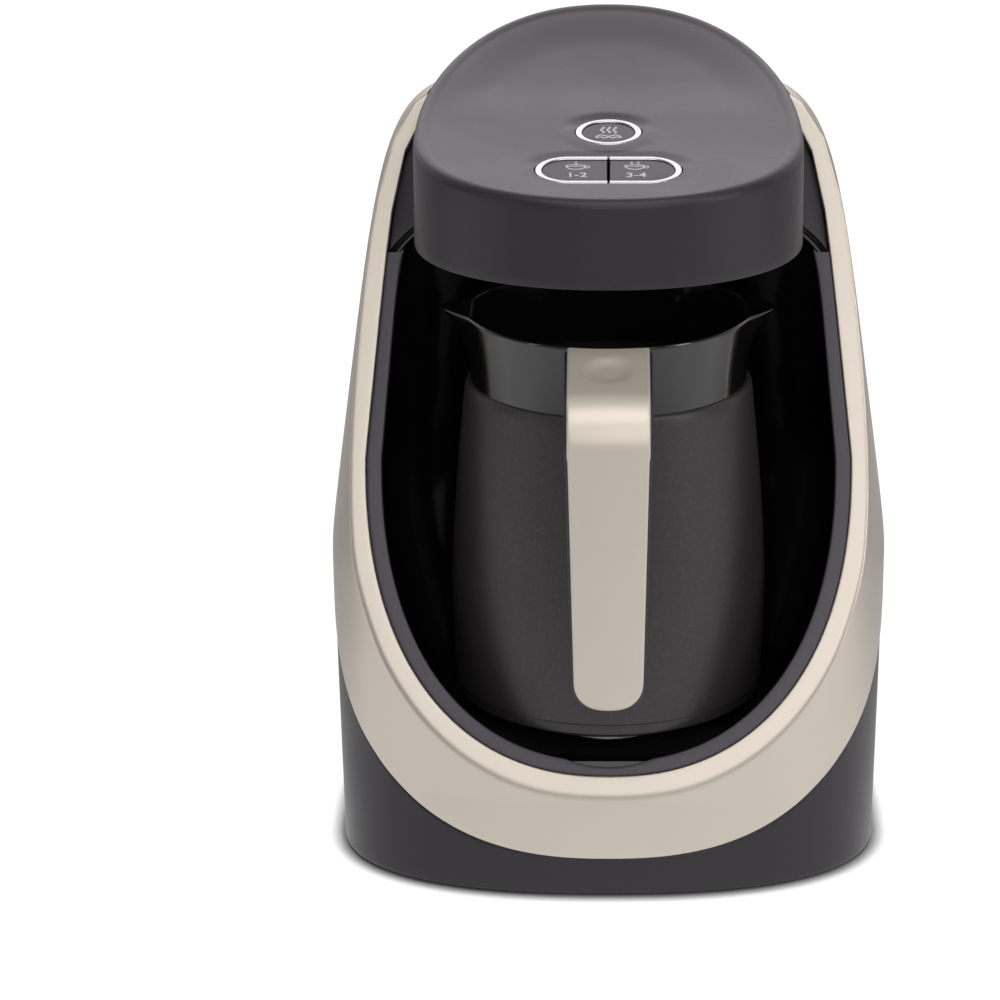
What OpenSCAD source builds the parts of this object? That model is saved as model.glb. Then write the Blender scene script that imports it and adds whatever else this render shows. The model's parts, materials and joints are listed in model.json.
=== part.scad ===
// Electric Turkish coffee maker: a tower with a round well for a two-spouted pot,
// a head with three buttons over it, and a heating plate under it.
// Millimetres, +Z up, front towards -Y. The origin is under the middle of the
// whole machine, handle included, on the surface that it stands on.

/* [Tower] */
// Greatest width of the tower
body_w = 158.4; // [152:0.2:176]
// Depth of the tower, front of the lip to the back
body_d = 184; // [178:1:204]
// Height of the tower above the head's lower edge
shoulder_h = 38.5; // [34:0.5:44]
// Height at which the tower is widest
waist_z = 85; // [78:1:96]
// How much narrower each side is at the floor
foot_taper = 2.5; // [0.5:0.1:4]
// Lean of the opening's rim from the vertical, in degrees
lean = 25; // [22:0.5:28]
// Height of the lip's front edge
lip_z = 26; // [24:0.5:29]
// Wall of the tower's two outer shells
shell_wall = 2.4; // [1.8:0.1:3]
// How far the champagne collar stands proud of the housing
collar_proud = 0.4; // [0.2:0.1:0.8]
// Width of the collar's front band beside the opening
band_w = 5.2; // [4.2:0.2:6.4]
// Width of the grey rim ring inside the band
rim_w = 4.5; // [3.6:0.1:5.4]
// Height of the collar's lower edge at the front
seam_z = 10.3; // [8:0.1:12]

/* [Head] */
// How much narrower the head is than the tower, on each side
head_inset = 25; // [23:0.5:27]
// Space between the pot's mouth and the head's lower edge
pot_room = 18.1; // [16:0.1:22]
// Height of the head at its front
head_front_h = 25; // [24:0.5:28]
// Depth of the head behind its widest point
head_back = 78; // [74:1:82]
// Rounding of the head's upper rim
head_round = 4.5; // [3:0.5:6]
// Wall of the head
head_wall = 2.4; // [2:0.1:3]

/* [Buttons] */
// Diameter of the round slow-cooking button
round_d = 18.8; // [16:0.2:20]
// Width of the pair of cup buttons
pill_w = 41.4; // [38:0.2:43]
// Depth of the pair of cup buttons
pill_d = 19.4; // [17:0.2:20]
// Width of the chrome rim on each button
chrome_w = 1.9; // [1.2:0.1:2.4]
// Travel of a button
button_travel = 1.2; // [0.8:0.1:1.6]
// Clearance around each button
button_gap = 0.25; // [0.2:0.05:0.35]

/* [Pot] */
// Greatest radius of the pot
pot_r = 44.5; // [42:0.1:45]
// Radius of the pot's mouth
mouth_r = 40.6; // [39:0.1:41.4]
// Height of the pot
pot_h = 111.6; // [104:0.2:118]
// Wall of the pot
pot_wall = 1.2; // [0.8:0.1:1.6]
// How far each spout reaches past the mouth
spout_reach = 6.6; // [4:0.2:6.8]
// Height of the glossy crown with the spouts
crown_h = 16.8; // [13:0.2:18]
// Distance from the front of the lip back to the pot's axis
pot_inset = 50; // [49:0.5:51]
// How far the handle stands in front of the lip
handle_overhang = 24; // [20:0.5:26]
// Width of the handle at its top
handle_w = 24.4; // [20:0.2:26]
// Thickness of the handle's black core
handle_t = 5; // [4:0.1:6]
// Thickness of the handle's champagne cover
cover_t = 1.8; // [1.2:0.1:2.4]
// Height of the handle's lower end above the heating plate
handle_end = 16.4; // [12:0.2:24]

/* [Heating] */
// Height of the heating plate's top
plate_z = 45.8; // [45.4:0.1:46.2]
// Radius of the heating plate
plate_r = 34.5; // [32:0.5:35]
// Thickness of the heating plate
plate_t = 3.6; // [3:0.1:4]
// Radius of the tubular heating element's coil
element_r = 24; // [20:0.5:25]
// Thickness of the element's tube
element_d = 6; // [5:0.1:7]

/* [Fittings] */
// Diameter of the rubber feet
foot_d = 14; // [12:0.5:16]
// Thickness of the bottom plate
bottom_t = 2.5; // [2:0.1:3]
// Diameter of the screws' shanks
screw_d = 3; // [2.5:0.1:3.4]
// Diameter of the mains cord that the gland takes
cord_d = 7; // [6:0.1:8]
// Thickness of the circuit boards
board_t = 1.6; // [1:0.1:2]
// Running clearance between parts that only pass each other
gap = 0.4; // [0.3:0.05:0.5]

/* [Hidden] */
$fn = 64;
eps = 0.01;

// ---- Colours ----
anthracite = [0.27, 0.26, 0.27];
champagne = [0.76, 0.72, 0.66];
gloss_black = [0.03, 0.03, 0.035];
rim_grey = [0.33, 0.32, 0.34];
chrome = [0.8, 0.8, 0.8];
pot_grey = [0.3, 0.29, 0.3];
board_green = [0.08, 0.3, 0.16];
steel = [0.6, 0.6, 0.62];
rubber = [0.08, 0.08, 0.08];
smoked = [0.2, 0.05, 0.05];
ceramic = [0.9, 0.88, 0.8];
case_blue = [0.15, 0.25, 0.45];
sleeve = [0.75, 0.75, 0.7];
lens = [0.9, 0.95, 1];

// ---- Heights of the head and the tower ----
head_z = plate_z + pot_h + pot_room;
head_top_z = head_z + head_front_h;
tower_h = head_z + shoulder_h;
head_w = body_w - 2 * head_inset;

// ---- Places along the depth ----
front_y = -(body_d - handle_overhang) / 2;
back_y = front_y + body_d;
pot_y = front_y + pot_inset;
handle_y = front_y - handle_overhang;

// ---- Tower sections ----
// The widest line leans back as it rises, in front of it the plan is a
// superellipse of power front_n, behind it one of power back_n.
mid_d = 51;
mid_lean = 0.15;
front_n = 2.3;
back_n = 2.6;
side_taper = 0.215;
side_soft = 0.05;
foot_power = 1.3;
side_n = 8;
back_taper = 0.25;
top_n = 3.5;
ring_n = 60;

function se(c, n) = sign(c) * pow(abs(c), 2 / n);
function mid_y(z) = front_y + mid_d + mid_lean * z;
function rise(z, d) = max(0, (z - waist_z) / (tower_h - d - waist_z));
function close_at(t, k, m) =
    (1 - k * (sqrt(t * t + side_soft * side_soft) - side_soft)) * pow(max(0, 1 - pow(t, m)), 1 / m);
function half_w(z, d) =
    (body_w / 2 - foot_taper * pow(max(0, 1 - z / waist_z), foot_power))
    * close_at(rise(z, d), side_taper, side_n) - d;
function back_d(z, d) =
    (back_y - mid_y(z)) * close_at(rise(z, d), back_taper, top_n) - d;
function front_d(z, d) = mid_y(z) - front_y - d;
function section(z, d) = [for (i = [0:ring_n - 1])
    let (a = 360 * i / ring_n, c = cos(a), back = c > 0, n = back ? back_n : front_n)
    [half_w(z, d) * se(sin(a), n),
     mid_y(z) + (back ? back_d(z, d) : front_d(z, d)) * se(c, n), z]];
low_levels = [16, 36, 56, 72];
high_levels = [0, 0.06, 0.12, 0.2, 0.3, 0.42, 0.55, 0.67, 0.77, 0.85, 0.91, 0.955, 0.985, 0.9985];
function levels(low, d) = concat([low], low_levels, [for (t = high_levels)
    waist_z + (tower_h - d - waist_z) * t]);

// A closed skin through rings of equally many points.
module loft(rings) {
    n = len(rings[0]);
    m = len(rings);
    polyhedron(
        points = [for (r = rings) each r],
        faces = concat(
            [[for (i = [n - 1:-1:0]) i]],
            [for (k = [0:m - 2]) for (i = [0:n - 1]) let (j = (i + 1) % n)
                [k * n + i, (k + 1) * n + j, (k + 1) * n + i]],
            [for (k = [0:m - 2]) for (i = [0:n - 1]) let (j = (i + 1) % n)
                [k * n + i, k * n + j, (k + 1) * n + j]],
            [[for (i = [0:n - 1]) (m - 1) * n + i]]));
}
module tower_solid(d, low = 0) loft([for (z = levels(low, d)) section(z, d)]);

// Freeform shells are joined and cut as one skin of small faces.
module one_skin() resize([0, 0, 0]) children();

// A side profile, drawn as [y, z], drawn out across the width.
module across(w, pts) rotate([90, 0, 90]) linear_extrude(w, center = true) polygon(pts);

// ---- The opening's leaning plane ----
// Places on it are [x, v]: v runs up the plane from the lip's front edge, and
// the third axis stands off it towards the front.
module on_face() translate([0, front_y, lip_z]) rotate([90 - lean, 0, 0]) children();
function face_y(z) = front_y + (z - lip_z) * tan(lean);
function face_v(z) = (z - lip_z) / cos(lean);

arch_low_n = 2.3;
arch_points = 72;
// Outline of the opening: a superellipse below its widest line at v = mid,
// and above it sides that taper by k and close with power m at v = top.
function arch(a, mid, low, top, k, m) = [for (i = [0:arch_points - 1])
    let (ang = 360 * i / arch_points, s = sin(ang), c = cos(ang),
         t = pow(abs(c), 2 / m))
    c < 0 ? [a * se(s, arch_low_n), mid + low * se(c, arch_low_n)]
          : [a * (1 - k * t) * se(s, m), mid + (top - mid) * t]];
arch_mid = face_v(head_z - 59.5);
band_in_a = half_w(waist_z, 0) - 5.8 - band_w;
band_in_low = arch_mid - 8.8;
band_in_top = face_v(tower_h) - 2;
module band_opening(d) polygon(arch(band_in_a + d, arch_mid, band_in_low + d, band_in_top + d, 0.145, 7));
rim_in_a = band_in_a - rim_w;
rim_in_low = band_in_low - rim_w + 0.8;
mouth_top = face_v(head_z) + 6;
module mouth(d) polygon(arch(rim_in_a + d, arch_mid, rim_in_low + d, mouth_top + d, 0.09, 9));
rim_top_v = face_v(head_z - 6.5);
rim_depth = 4;
rim_set = 0.7;
rim_clear = 0.3;
cheek_set = 1.6;
cheek_t = rim_depth + rim_set - cheek_set;
strip_w = 2.2;

module front_of_face(set = 0)
    on_face() translate([-body_w, -body_w, -set]) cube([2 * body_w, 4 * body_w, 2 * body_w]);

// ---- Seam between the collar and the rear housing ----
// It leaves the front at seam_slope, turns on seam_r and ends parallel to the rim.
seam_slope = 48;
seam_run = 46;
seam_r = 250;
seam_steps = 6;
function seam_turn(a) = [seam_r * (sin(a) - sin(seam_slope)), seam_r * (cos(seam_slope) - cos(a))];
seam_start = [front_y, seam_z];
seam_bend = seam_start + seam_run * [cos(seam_slope), sin(seam_slope)];
seam_far = 300;
function seam_pts(d) = concat(
    [seam_start - 60 * [cos(seam_slope), sin(seam_slope)] + [d, 0]],
    [for (i = [0:seam_steps]) let (a = seam_slope + (90 - lean - seam_slope) * i / seam_steps)
        seam_bend + seam_turn(a) + [d, 0]],
    [seam_bend + seam_turn(90 - lean) + seam_far * [sin(lean), cos(lean)] + [d, 0]]);
module front_of_seam(d = 0)
    across(2 * body_w, concat(seam_pts(d), [[-seam_far, 2 * seam_far], [-seam_far, -60]]));

// ---- Head ----
head_mid_y = front_y + 53.5;
head_front = 50.5;
head_front_n = 2.1;
head_back_n = 2.2;
head_slope = 0.0602;
head_curl = 0.001126;
head_front_y = head_mid_y - head_front;
head_back_y = head_mid_y + head_back;
function top_z(y) = head_top_z + head_slope * (y - head_front_y) + head_curl * pow(y - head_front_y, 2);
head_n = 60;
function head_pt(i, d, f = 1) =
    let (a = 360 * i / head_n, c = cos(a), n = c > 0 ? head_back_n : head_front_n)
    [f * (head_w / 2 - d) * se(sin(a), n),
     head_mid_y + f * ((c > 0 ? head_back : head_front) - d) * se(c, n)];
module head_plan(d) polygon([for (i = [0:head_n - 1]) head_pt(i, d)]);
round_steps = [0, 18, 36, 54, 72, 90];
top_rings = [0.84, 0.62, 0.38, 0.14];
// The head as a solid, inset by d, with its lower edge at z = low.
function head_rings(d, low) = let (r = head_round) concat(
    [[for (i = [0:head_n - 1]) let (p = head_pt(i, d)) [p[0], p[1], low]]],
    [for (a = round_steps) [for (i = [0:head_n - 1])
        let (p = head_pt(i, d + r * (1 - cos(a)))) [p[0], p[1], top_z(p[1]) - d - r * (1 - sin(a))]]],
    [for (f = top_rings) [for (i = [0:head_n - 1])
        let (p = head_pt(i, d + r, f)) [p[0], p[1], top_z(p[1]) - d]]]);
module head_solid(d, low) loft(head_rings(d, low));
module head_well(d, low = head_z - gap, high = 80)
    translate([0, 0, low]) linear_extrude(high) head_plan(-d);

// ---- Well for the pot ----
well_floor = 42;
well_r = pot_r + 17.5;
well_top = head_z + 6;
liner_wall = 1.8;
sill = 4.5;
bowl = [for (p = [[16, 0], [13.5, 4], [10, 13], [6, 24], [2, 38], [0, 58]]) [well_r - p[0], p[1]]];
module bowl_profile(d) polygon(concat([[0, well_floor - d]],
    [for (p = bowl) [p[0] + d, well_floor - d + (p[1] == 0 ? 0 : p[1] + d)]],
    [[well_r + d, well_top + d], [0, well_top + d]]));
well_deep = 95;
module bowl(d) rotate_extrude() bowl_profile(d);
module bowl_run(d) rotate([90, 0, 0]) linear_extrude(pot_inset) {
    bowl_profile(d);
    mirror([1, 0]) bowl_profile(d);
}
// The round well, run out to the opening; set is how far behind the rim it starts.
module well(d, set) difference() {
    union() {
        translate([0, pot_y, 0]) bowl(d);
        intersection() {
            translate([0, pot_y, 0]) bowl_run(d);
            on_face() translate([0, 0, -well_deep]) linear_extrude(well_deep) mouth(d - 0.3);
        }
    }
    front_of_face(set);
}

// ---- Button deck ----
deck_tilt = 8.5;
deck_y = front_y + 42;
deck_z = top_z(deck_y);
round_v = 13.1;
pill_v = -13.2;
deck_sink = -0.35;
pill_split = 0.7;
module on_deck() translate([0, deck_y, deck_z]) rotate([deck_tilt, 0, 0]) children();
cap_t = 4;
rim_h = 2.6;
flange_t = cap_t + 0.4 - rim_h;
stem_r = 2;
switch_h = 4;
board_drop = head_front_h - 8;
carrier_drop = 9.5;
carrier_t = 2;
carrier_w = head_w - 32.4;
stem_clear = 0.06;
sink_clear = 0.15;
module pill_2d(w, h) {
    translate([-(w - h) / 2, 0]) circle(d = h);
    translate([(w - h) / 2, 0]) circle(d = h);
    square([w - h, h], center = true);
}
module half_pill_2d(side, d) intersection() {
    pill_2d(pill_w - 2 * d, pill_d - 2 * d);
    translate([side * (pill_w / 2 + pill_split / 2), 0]) square([pill_w, pill_d], center = true);
}
module half_face_2d(side) intersection() {
    pill_2d(pill_w - 2 * chrome_w - 0.1, pill_d - 2 * chrome_w - 0.1);
    translate([side * (pill_w / 2 + pill_split / 2), 0]) square([pill_w, pill_d], center = true);
}
cup_x = pill_w / 4;
module button_places() {
    translate([0, round_v]) children();
    for (side = [-1, 1]) translate([side * cup_x, pill_v]) children();
}

// ---- Pot ----
pot_z = plate_z;
crown_z = pot_z + pot_h - crown_h;
base_h = 3.2;
seam_r_pot = pot_r - 1.2;
neck_r = mouth_r - 0.7;
neck_step = 1.3;
// Outer radius of the pot at a height over the heating plate.
function pot_rad(h) = h < 32 ? pot_r - (pot_r - seam_r_pot) * pow((32 - h) / (32 - base_h), 2)
    : pot_r - (pot_r - neck_r) * pow((h - 32) / (pot_h - 32 - crown_h), 1.45);
pot_steps = 14;
crown_n = 72;
crown_levels = [0, 0.25, 0.45, 0.62, 0.76, 0.88, 1];
spout_power = 60;
function crown_rad(a, t) =
    neck_r - neck_step + (mouth_r - neck_r + neck_step) * pow(max(0, t), 2)
    + spout_reach * pow(abs(sin(a)), spout_power) * pow(max(0, t), 2.8);
function crown_lift(a, t) = 0.6 * pow(abs(sin(a)), 4) * pow(t, 2);
function crown_ring(t, d) = [for (i = [0:crown_n - 1]) let (a = 360 * i / crown_n, r = crown_rad(a, t) - d)
    [r * sin(a), r * cos(a), crown_z + crown_h * t + crown_lift(a, t)]];

// ---- Handle, as a side profile [y, z] ----
bend_r = 9;
leg_lean = 2;
handle_top_z = pot_z + pot_h + 1.2;
bend_c = [handle_y + bend_r, handle_top_z - bend_r - 0.8];
handle_end_z = pot_z + handle_end;
leg_len = bend_c[1] - handle_end_z;
bend_steps = 8;
function bend_pts(r) = [for (i = [0:bend_steps]) let (a = 2 + (88 + leg_lean) * i / bend_steps)
    bend_c + r * [-sin(a), cos(a)]];
function leg_pt(r) =
    bend_c + r * [-cos(leg_lean), -sin(leg_lean)] + leg_len * [sin(leg_lean), -cos(leg_lean)];
root_y = pot_y - mouth_r + 3;
function strap(out, in) = concat(
    [[root_y, bend_c[1] + out]], bend_pts(out), [leg_pt(out)],
    [leg_pt(in)], [for (i = [bend_steps:-1:0]) bend_pts(in)[i]], [[root_y, bend_c[1] + in]]);
handle_end_w = 20.4;
cover_edge = 0.8;
// Front view of the handle: tapered, with a round lower end.
module handle_outline(d) {
    top = [handle_w / 2 - d, 60];
    w = handle_end_w / 2 - d;
    r = 5.5;
    polygon([[-top[0], top[1]], [-w, -leg_len + r], [w, -leg_len + r], top]);
    translate([-w + r, -leg_len + d + r - 0.01]) circle(r);
    translate([w - r, -leg_len + d + r - 0.01]) circle(r);
    translate([0, -leg_len + d + r]) square([2 * (w - r), 2 * r], center = true);
}
module handle_part(out, in, d) intersection() {
    across(2 * handle_w, strap(out, in));
    translate([0, pot_y, bend_c[1]]) rotate([90, 0, 0]) linear_extrude(100) handle_outline(d);
}

// ---- Inside the tower ----
post_r = 4;
base_screws_at = [for (s = [-1, 1], p = [[21.2, front_y + 58], [27.2, back_y - 34]])
    [s * (body_w / 2 - p[0]), p[1]]];
feet_at = [for (s = [-1, 1], p = [[31.2, front_y + 34], [37.2, back_y - 30]])
    [s * (body_w / 2 - p[0]), p[1]]];
foot_h = 0.8;
foot_sink = 1;
bottom_z = foot_h;
post_z = bottom_z + bottom_t;
post_h = 18;
front_posts_at = [for (s = [-1, 1]) [s * (head_w / 2 - 10.2), head_mid_y - 8]];
rear_posts_at = [[-15, pot_y + well_r + 7], [15, pot_y + well_r + 7]];
head_posts_at = concat(front_posts_at, rear_posts_at);
well_back_y = pot_y + well_r;
under_t = 2;
under_z = head_z + 1.5;
under_lap = 0.3;
sensor_y = pot_y - 12;
wire_y = well_back_y + 8;
wire_r = 1.1;
sensor_r = 7;
power_y = pot_y + well_r + 16;
power_w = 78;
power_h = 96;
power_z = 38;
power_posts_at = [for (s = [-1, 1], z = [power_z + 6, power_z + power_h - 6]) [s * 33, z]];
gland_z = 20;
gland_r = cord_d / 2 + 3;
gland_hole = cord_d / 2 + 0.1;
gland_len = 12;
gland_lip = 2.4;
gland_flange = 2;
clamp_y = back_y - 34;

module screw(len, head = 1.8) {
    cylinder(h = len, d = screw_d);
    translate([0, 0, -head]) cylinder(h = head, d = 1.9 * screw_d);
}
screw_hole = screw_d / 2 + 0.08;

// ======== Tower ========
// A tongue on the housing's front edge lies behind the collar.
tongue_t = 2;
tongue_w = 6;
module behind_seam(d)
    across(2 * body_w, concat(seam_pts(d), [[seam_far, 2 * seam_far], [seam_far, -60]]));
module rear_housing() color(anthracite) one_skin() difference() {
    union() {
        difference() {
            tower_solid(collar_proud, bottom_z);
            tower_solid(shell_wall + collar_proud, -1);
            front_of_seam();
        }
        difference() {
            tower_solid(shell_wall + 0.1, bottom_z);
            tower_solid(shell_wall + tongue_t, -1);
            front_of_seam(-tongue_w);
            behind_seam(4);
        }
        intersection() {
            tower_solid(shell_wall, post_z);
            for (p = base_screws_at) {
                translate([p[0], p[1], post_z]) cylinder(h = post_h, r = post_r, $fn = 24);
                translate([p[0] + (p[0] > 0 ? 0 : -30), p[1] - 1, post_z]) cube([30, 2, post_h]);
            }
        }
    }
    head_well(gap);
    for (p = base_screws_at) translate([p[0], p[1], 0])
        cylinder(h = post_z + post_h - 4, r = screw_hole, $fn = 24);
    translate([0, back_y, gland_z]) rotate([-90, 0, 0]) {
        translate([0, 0, -10]) cylinder(h = 20, r = gland_r + 0.1, $fn = 32);
        translate([0, 0, -gland_flange]) cylinder(h = 10, r = gland_r + gland_lip + 0.1, $fn = 32);
    }
    for (i = [-4:4], j = [0:1]) translate([i * 9, back_y, 58 + 22 * j]) cube([3.2, 40, 16], center = true);
}
module trim_collar() color(champagne) one_skin() difference() {
    intersection() {
        difference() {
            tower_solid(0, 2);
            difference() {
                tower_solid(shell_wall, -1);
                front_of_face(shell_wall);
            }
        }
        front_of_seam();
    }
    front_of_face();
    on_face() translate([0, 0, -10]) linear_extrude(20) band_opening(0);
    head_well(gap);
}
notch_r = 34;
notch_deep = 1.3;
module rim_ring() color(rim_grey) difference() {
    on_face() translate([0, 0, -rim_depth - rim_set]) linear_extrude(rim_depth) difference() {
        band_opening(-rim_clear);
        mouth(0);
        translate([-body_w, rim_top_v]) square([2 * body_w, 2 * body_w]);
    }
    on_face() translate([0, arch_mid - rim_in_low + notch_r - notch_deep, -rim_depth])
        cylinder(h = 2 * rim_depth, r = notch_r);
}
liner_flange = 1.6;
joint = 0.2;
liner_set = rim_set + rim_depth;
flange_lap = 0.9;
lap_top_v = face_v(head_z + 8.5);
module below_lap() intersection() {
    children();
    translate([-body_w, lap_top_v - 2 * body_w]) square([2 * body_w, 2 * body_w]);
}
ledge_t = 5;
ledge_z = head_z - gap - ledge_t;
module cavity_liner() color(gloss_black) difference() {
    union() {
        well(liner_wall, liner_set);
        on_face() translate([0, 0, -liner_set - liner_flange]) linear_extrude(liner_flange)
            below_lap() band_opening(flange_lap);
        on_face() translate([0, 0, -liner_set - joint]) linear_extrude(liner_set - shell_wall + joint)
            below_lap() difference() {
                band_opening(flange_lap);
                band_opening(rim_clear);
            }
        on_face() translate([0, 0, -liner_set - liner_flange]) linear_extrude(liner_flange)
            band_opening(-rim_clear);
        on_face() translate([0, 0, -liner_set - joint]) linear_extrude(liner_set - cheek_set + joint)
            intersection() {
                mouth(strip_w - 0.2);
                band_opening(-rim_clear);
                translate([-body_w, rim_top_v + 0.2]) square([2 * body_w, 30]);
            }
        for (p = power_posts_at) translate([p[0], pot_y + 30, p[1]]) rotate([-90, 0, 0])
            cylinder(h = power_y - pot_y - 30, r = post_r);
        translate([-28, well_back_y - 4, ledge_z]) cube([56, 22, ledge_t]);
        for (p = rear_posts_at) translate([p[0], p[1], ledge_z]) cylinder(h = under_z - ledge_z, r = 5);
    }
    well(0, 0);
    on_face() translate([0, 0, -liner_set]) linear_extrude(40) mouth(0);
    translate([0, 0, head_z - gap]) linear_extrude(80) difference() {
        head_plan(-gap);
        for (p = rear_posts_at) translate(p) circle(5);
    }
    translate([0, pot_y, 0]) cylinder(h = plate_z, r = plate_r - 1.5);
    for (p = power_posts_at) translate([p[0], power_y - 9, p[1]]) rotate([-90, 0, 0])
        cylinder(h = 20, r = screw_hole);
    for (p = rear_posts_at) translate([p[0], p[1], ledge_z - 1]) {
        cylinder(h = 40, r = screw_hole);
        cylinder(h = 3, r = screw_d + 0.1);
    }
    translate([0, wire_y, head_z]) cylinder(h = 20, r = 5, center = true);
}
module cheek_panels() color(anthracite) difference() {
    on_face() translate([0, 0, -cheek_set - cheek_t]) linear_extrude(cheek_t) difference() {
        band_opening(-rim_clear);
        mouth(strip_w);
        translate([-body_w, rim_top_v - 2 * body_w]) square([2 * body_w, 2 * body_w]);
    }
    head_well(gap);
}

// ======== Base ========
module bottom_plate() color(anthracite) difference() {
    union() {
        translate([0, 0, bottom_z]) linear_extrude(bottom_t)
            polygon([for (p = section(post_z, shell_wall + collar_proud + 0.3)) [p[0], p[1]]]);
        for (s = [-1, 1]) translate([s * 14, clamp_y, post_z])
            cylinder(h = gland_z - cord_d / 2 - post_z, r = post_r);
    }
    for (p = feet_at) translate([p[0], p[1], 0]) cylinder(h = bottom_z + foot_sink, d = foot_d + 0.2);
    for (p = base_screws_at) translate([p[0], p[1], 0]) {
        cylinder(h = 20, r = screw_hole);
        cylinder(h = bottom_z + 1.2, r = screw_d + 0.1);
    }
    for (s = [-1, 1]) translate([s * 14, clamp_y, bottom_z + 1.2]) cylinder(h = 30, r = screw_hole);
    for (i = [-5:5]) translate([i * 8 - 1.5, pot_y - 12, 0]) cube([3, 40, 20]);
}
module rubber_feet() color(rubber) for (p = feet_at) translate([p[0], p[1], 0]) {
    cylinder(h = bottom_z + foot_sink, d = foot_d);
}
module base_screws() color(steel) for (p = base_screws_at)
    translate([p[0], p[1], bottom_z + 1.2]) screw(14, 1.1);
module cord_gland() color(rubber) translate([0, back_y, gland_z]) rotate([-90, 0, 0]) difference() {
    union() {
        translate([0, 0, -gland_len]) cylinder(h = gland_len, r = gland_r);
        translate([0, 0, -gland_flange]) cylinder(h = gland_flange, r = gland_r + gland_lip);
        translate([0, 0, -shell_wall - collar_proud - 0.5 - gland_flange])
            cylinder(h = gland_flange, r = gland_r + gland_lip);
    }
    translate([0, 0, -13]) cylinder(h = 20, r = gland_hole);
}
clamp_z = gland_z - cord_d / 2;
module cord_clamp() color(gloss_black) translate([0, clamp_y, clamp_z]) difference() {
    translate([-19, -5, 0]) cube([38, 10, cord_d + 3]);
    translate([0, 0, cord_d / 2]) rotate([90, 0, 0]) cylinder(h = 30, d = cord_d, center = true);
    translate([-cord_d / 2, -10, -1]) cube([cord_d, 20, cord_d / 2 + 1]);
    for (s = [-1, 1]) translate([s * 14, 0, -1]) cylinder(h = 30, r = screw_hole);
}
module clamp_screws() color(steel) for (s = [-1, 1])
    translate([s * 14, clamp_y, clamp_z + cord_d + 3]) mirror([0, 0, 1]) screw(18);

// ======== Head ========
deck_cut = 30;
module deck_openings(d) {
    translate([0, round_v]) circle(d = round_d + 2 * d);
    translate([0, pill_v]) pill_2d(pill_w + 2 * d, pill_d + 2 * d);
}
head_post_top = 16;
module head_shell() color(anthracite) difference() {
    one_skin() union() {
        difference() {
            head_solid(0, head_z);
            head_solid(head_wall, head_z - 1);
        }
        intersection() {
            head_solid(head_wall / 2, head_z);
            union() {
                for (p = head_posts_at) translate([p[0], p[1], under_z + under_t])
                    cylinder(h = 60, r = post_r, $fn = 24);
                on_deck() for (p = deck_posts_at) translate([p[0], p[1], -carrier_drop])
                    cylinder(h = 20, r = post_r, $fn = 24);
            }
        }
    }
    on_deck() translate([0, 0, -6]) linear_extrude(deck_cut) deck_openings(button_gap);
    for (p = head_posts_at) translate([p[0], p[1], under_z]) cylinder(h = 14, r = screw_hole);
    on_deck() for (p = deck_posts_at) translate([p[0], p[1], -carrier_drop - 1])
        cylinder(h = 7, r = screw_hole);
}
deck_posts_at = [for (s = [-1, 1], p = [[carrier_w / 2 - 4, round_v - 2], [15, round_v + 13]])
    [s * p[0], p[1]]];
module head_underside() color(gloss_black) difference() {
    translate([0, 0, under_z]) linear_extrude(under_t) head_plan(head_wall + under_lap);
    for (p = head_posts_at) translate([p[0], p[1], under_z - 1]) cylinder(h = 20, r = screw_hole);
    for (p = front_posts_at) translate([p[0], p[1], under_z - 1]) cylinder(h = 2, r = screw_d + 0.1);
    translate([0, sensor_y, under_z - 1]) cylinder(h = 10, r = sensor_r - 1);
    translate([0, sensor_y, under_z + 0.8]) cylinder(h = 10, r = sensor_r + 0.1);
    for (i = [-3:3]) translate([i * 5, pot_y + 18, under_z]) cube([2, 14, 10], center = true);
    translate([0, wire_y, under_z]) cylinder(h = 20, r = 6, center = true);
}
module head_screws() color(steel) {
    for (p = front_posts_at) translate([p[0], p[1], under_z + 1]) screw(12, 1);
    for (p = rear_posts_at) translate([p[0], p[1], ledge_z + 2]) screw(16, 1.8);
}
module sensor_window() color(smoked) translate([0, sensor_y, under_z + 0.8])
    cylinder(h = 1.2, r = sensor_r);
module sensor_board() color(board_green) translate([0, sensor_y, under_z + under_t]) {
    difference() {
        translate([-9, -9, 0]) cube([18, 18, board_t]);
        cylinder(h = 8, r = 2.5, center = true);
    }
    for (s = [-1, 1]) translate([s * 5, 0, board_t]) cylinder(h = 3, r = 2);
}
module button_carrier() color(gloss_black) on_deck() difference() {
    union() {
        translate([-carrier_w / 2, pill_v - 9.5, -carrier_drop - carrier_t])
            cube([carrier_w, 50, carrier_t]);
        button_places() translate([0, 0, -carrier_drop - carrier_t])
            cylinder(h = carrier_t + 2.2, r = stem_r + 1.6);
        for (p = carrier_legs_at) translate([p[0], p[1], -board_drop])
            cylinder(h = board_drop - carrier_drop - carrier_t + eps, r = 2.6);
    }
    button_places() translate([0, 0, -30]) cylinder(h = 40, r = stem_r + stem_clear);
    for (p = deck_posts_at) translate([p[0], p[1], -30]) cylinder(h = 40, r = screw_hole);
    for (p = carrier_legs_at) translate([p[0], p[1], -board_drop - 1]) cylinder(h = 6, r = 1.1);
}
carrier_legs_at = [for (s = [-1, 1], p = [[6, pill_v - 6], [5, round_v + 5]])
    [s * (carrier_w / 2 - p[0]), p[1]]];

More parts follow.
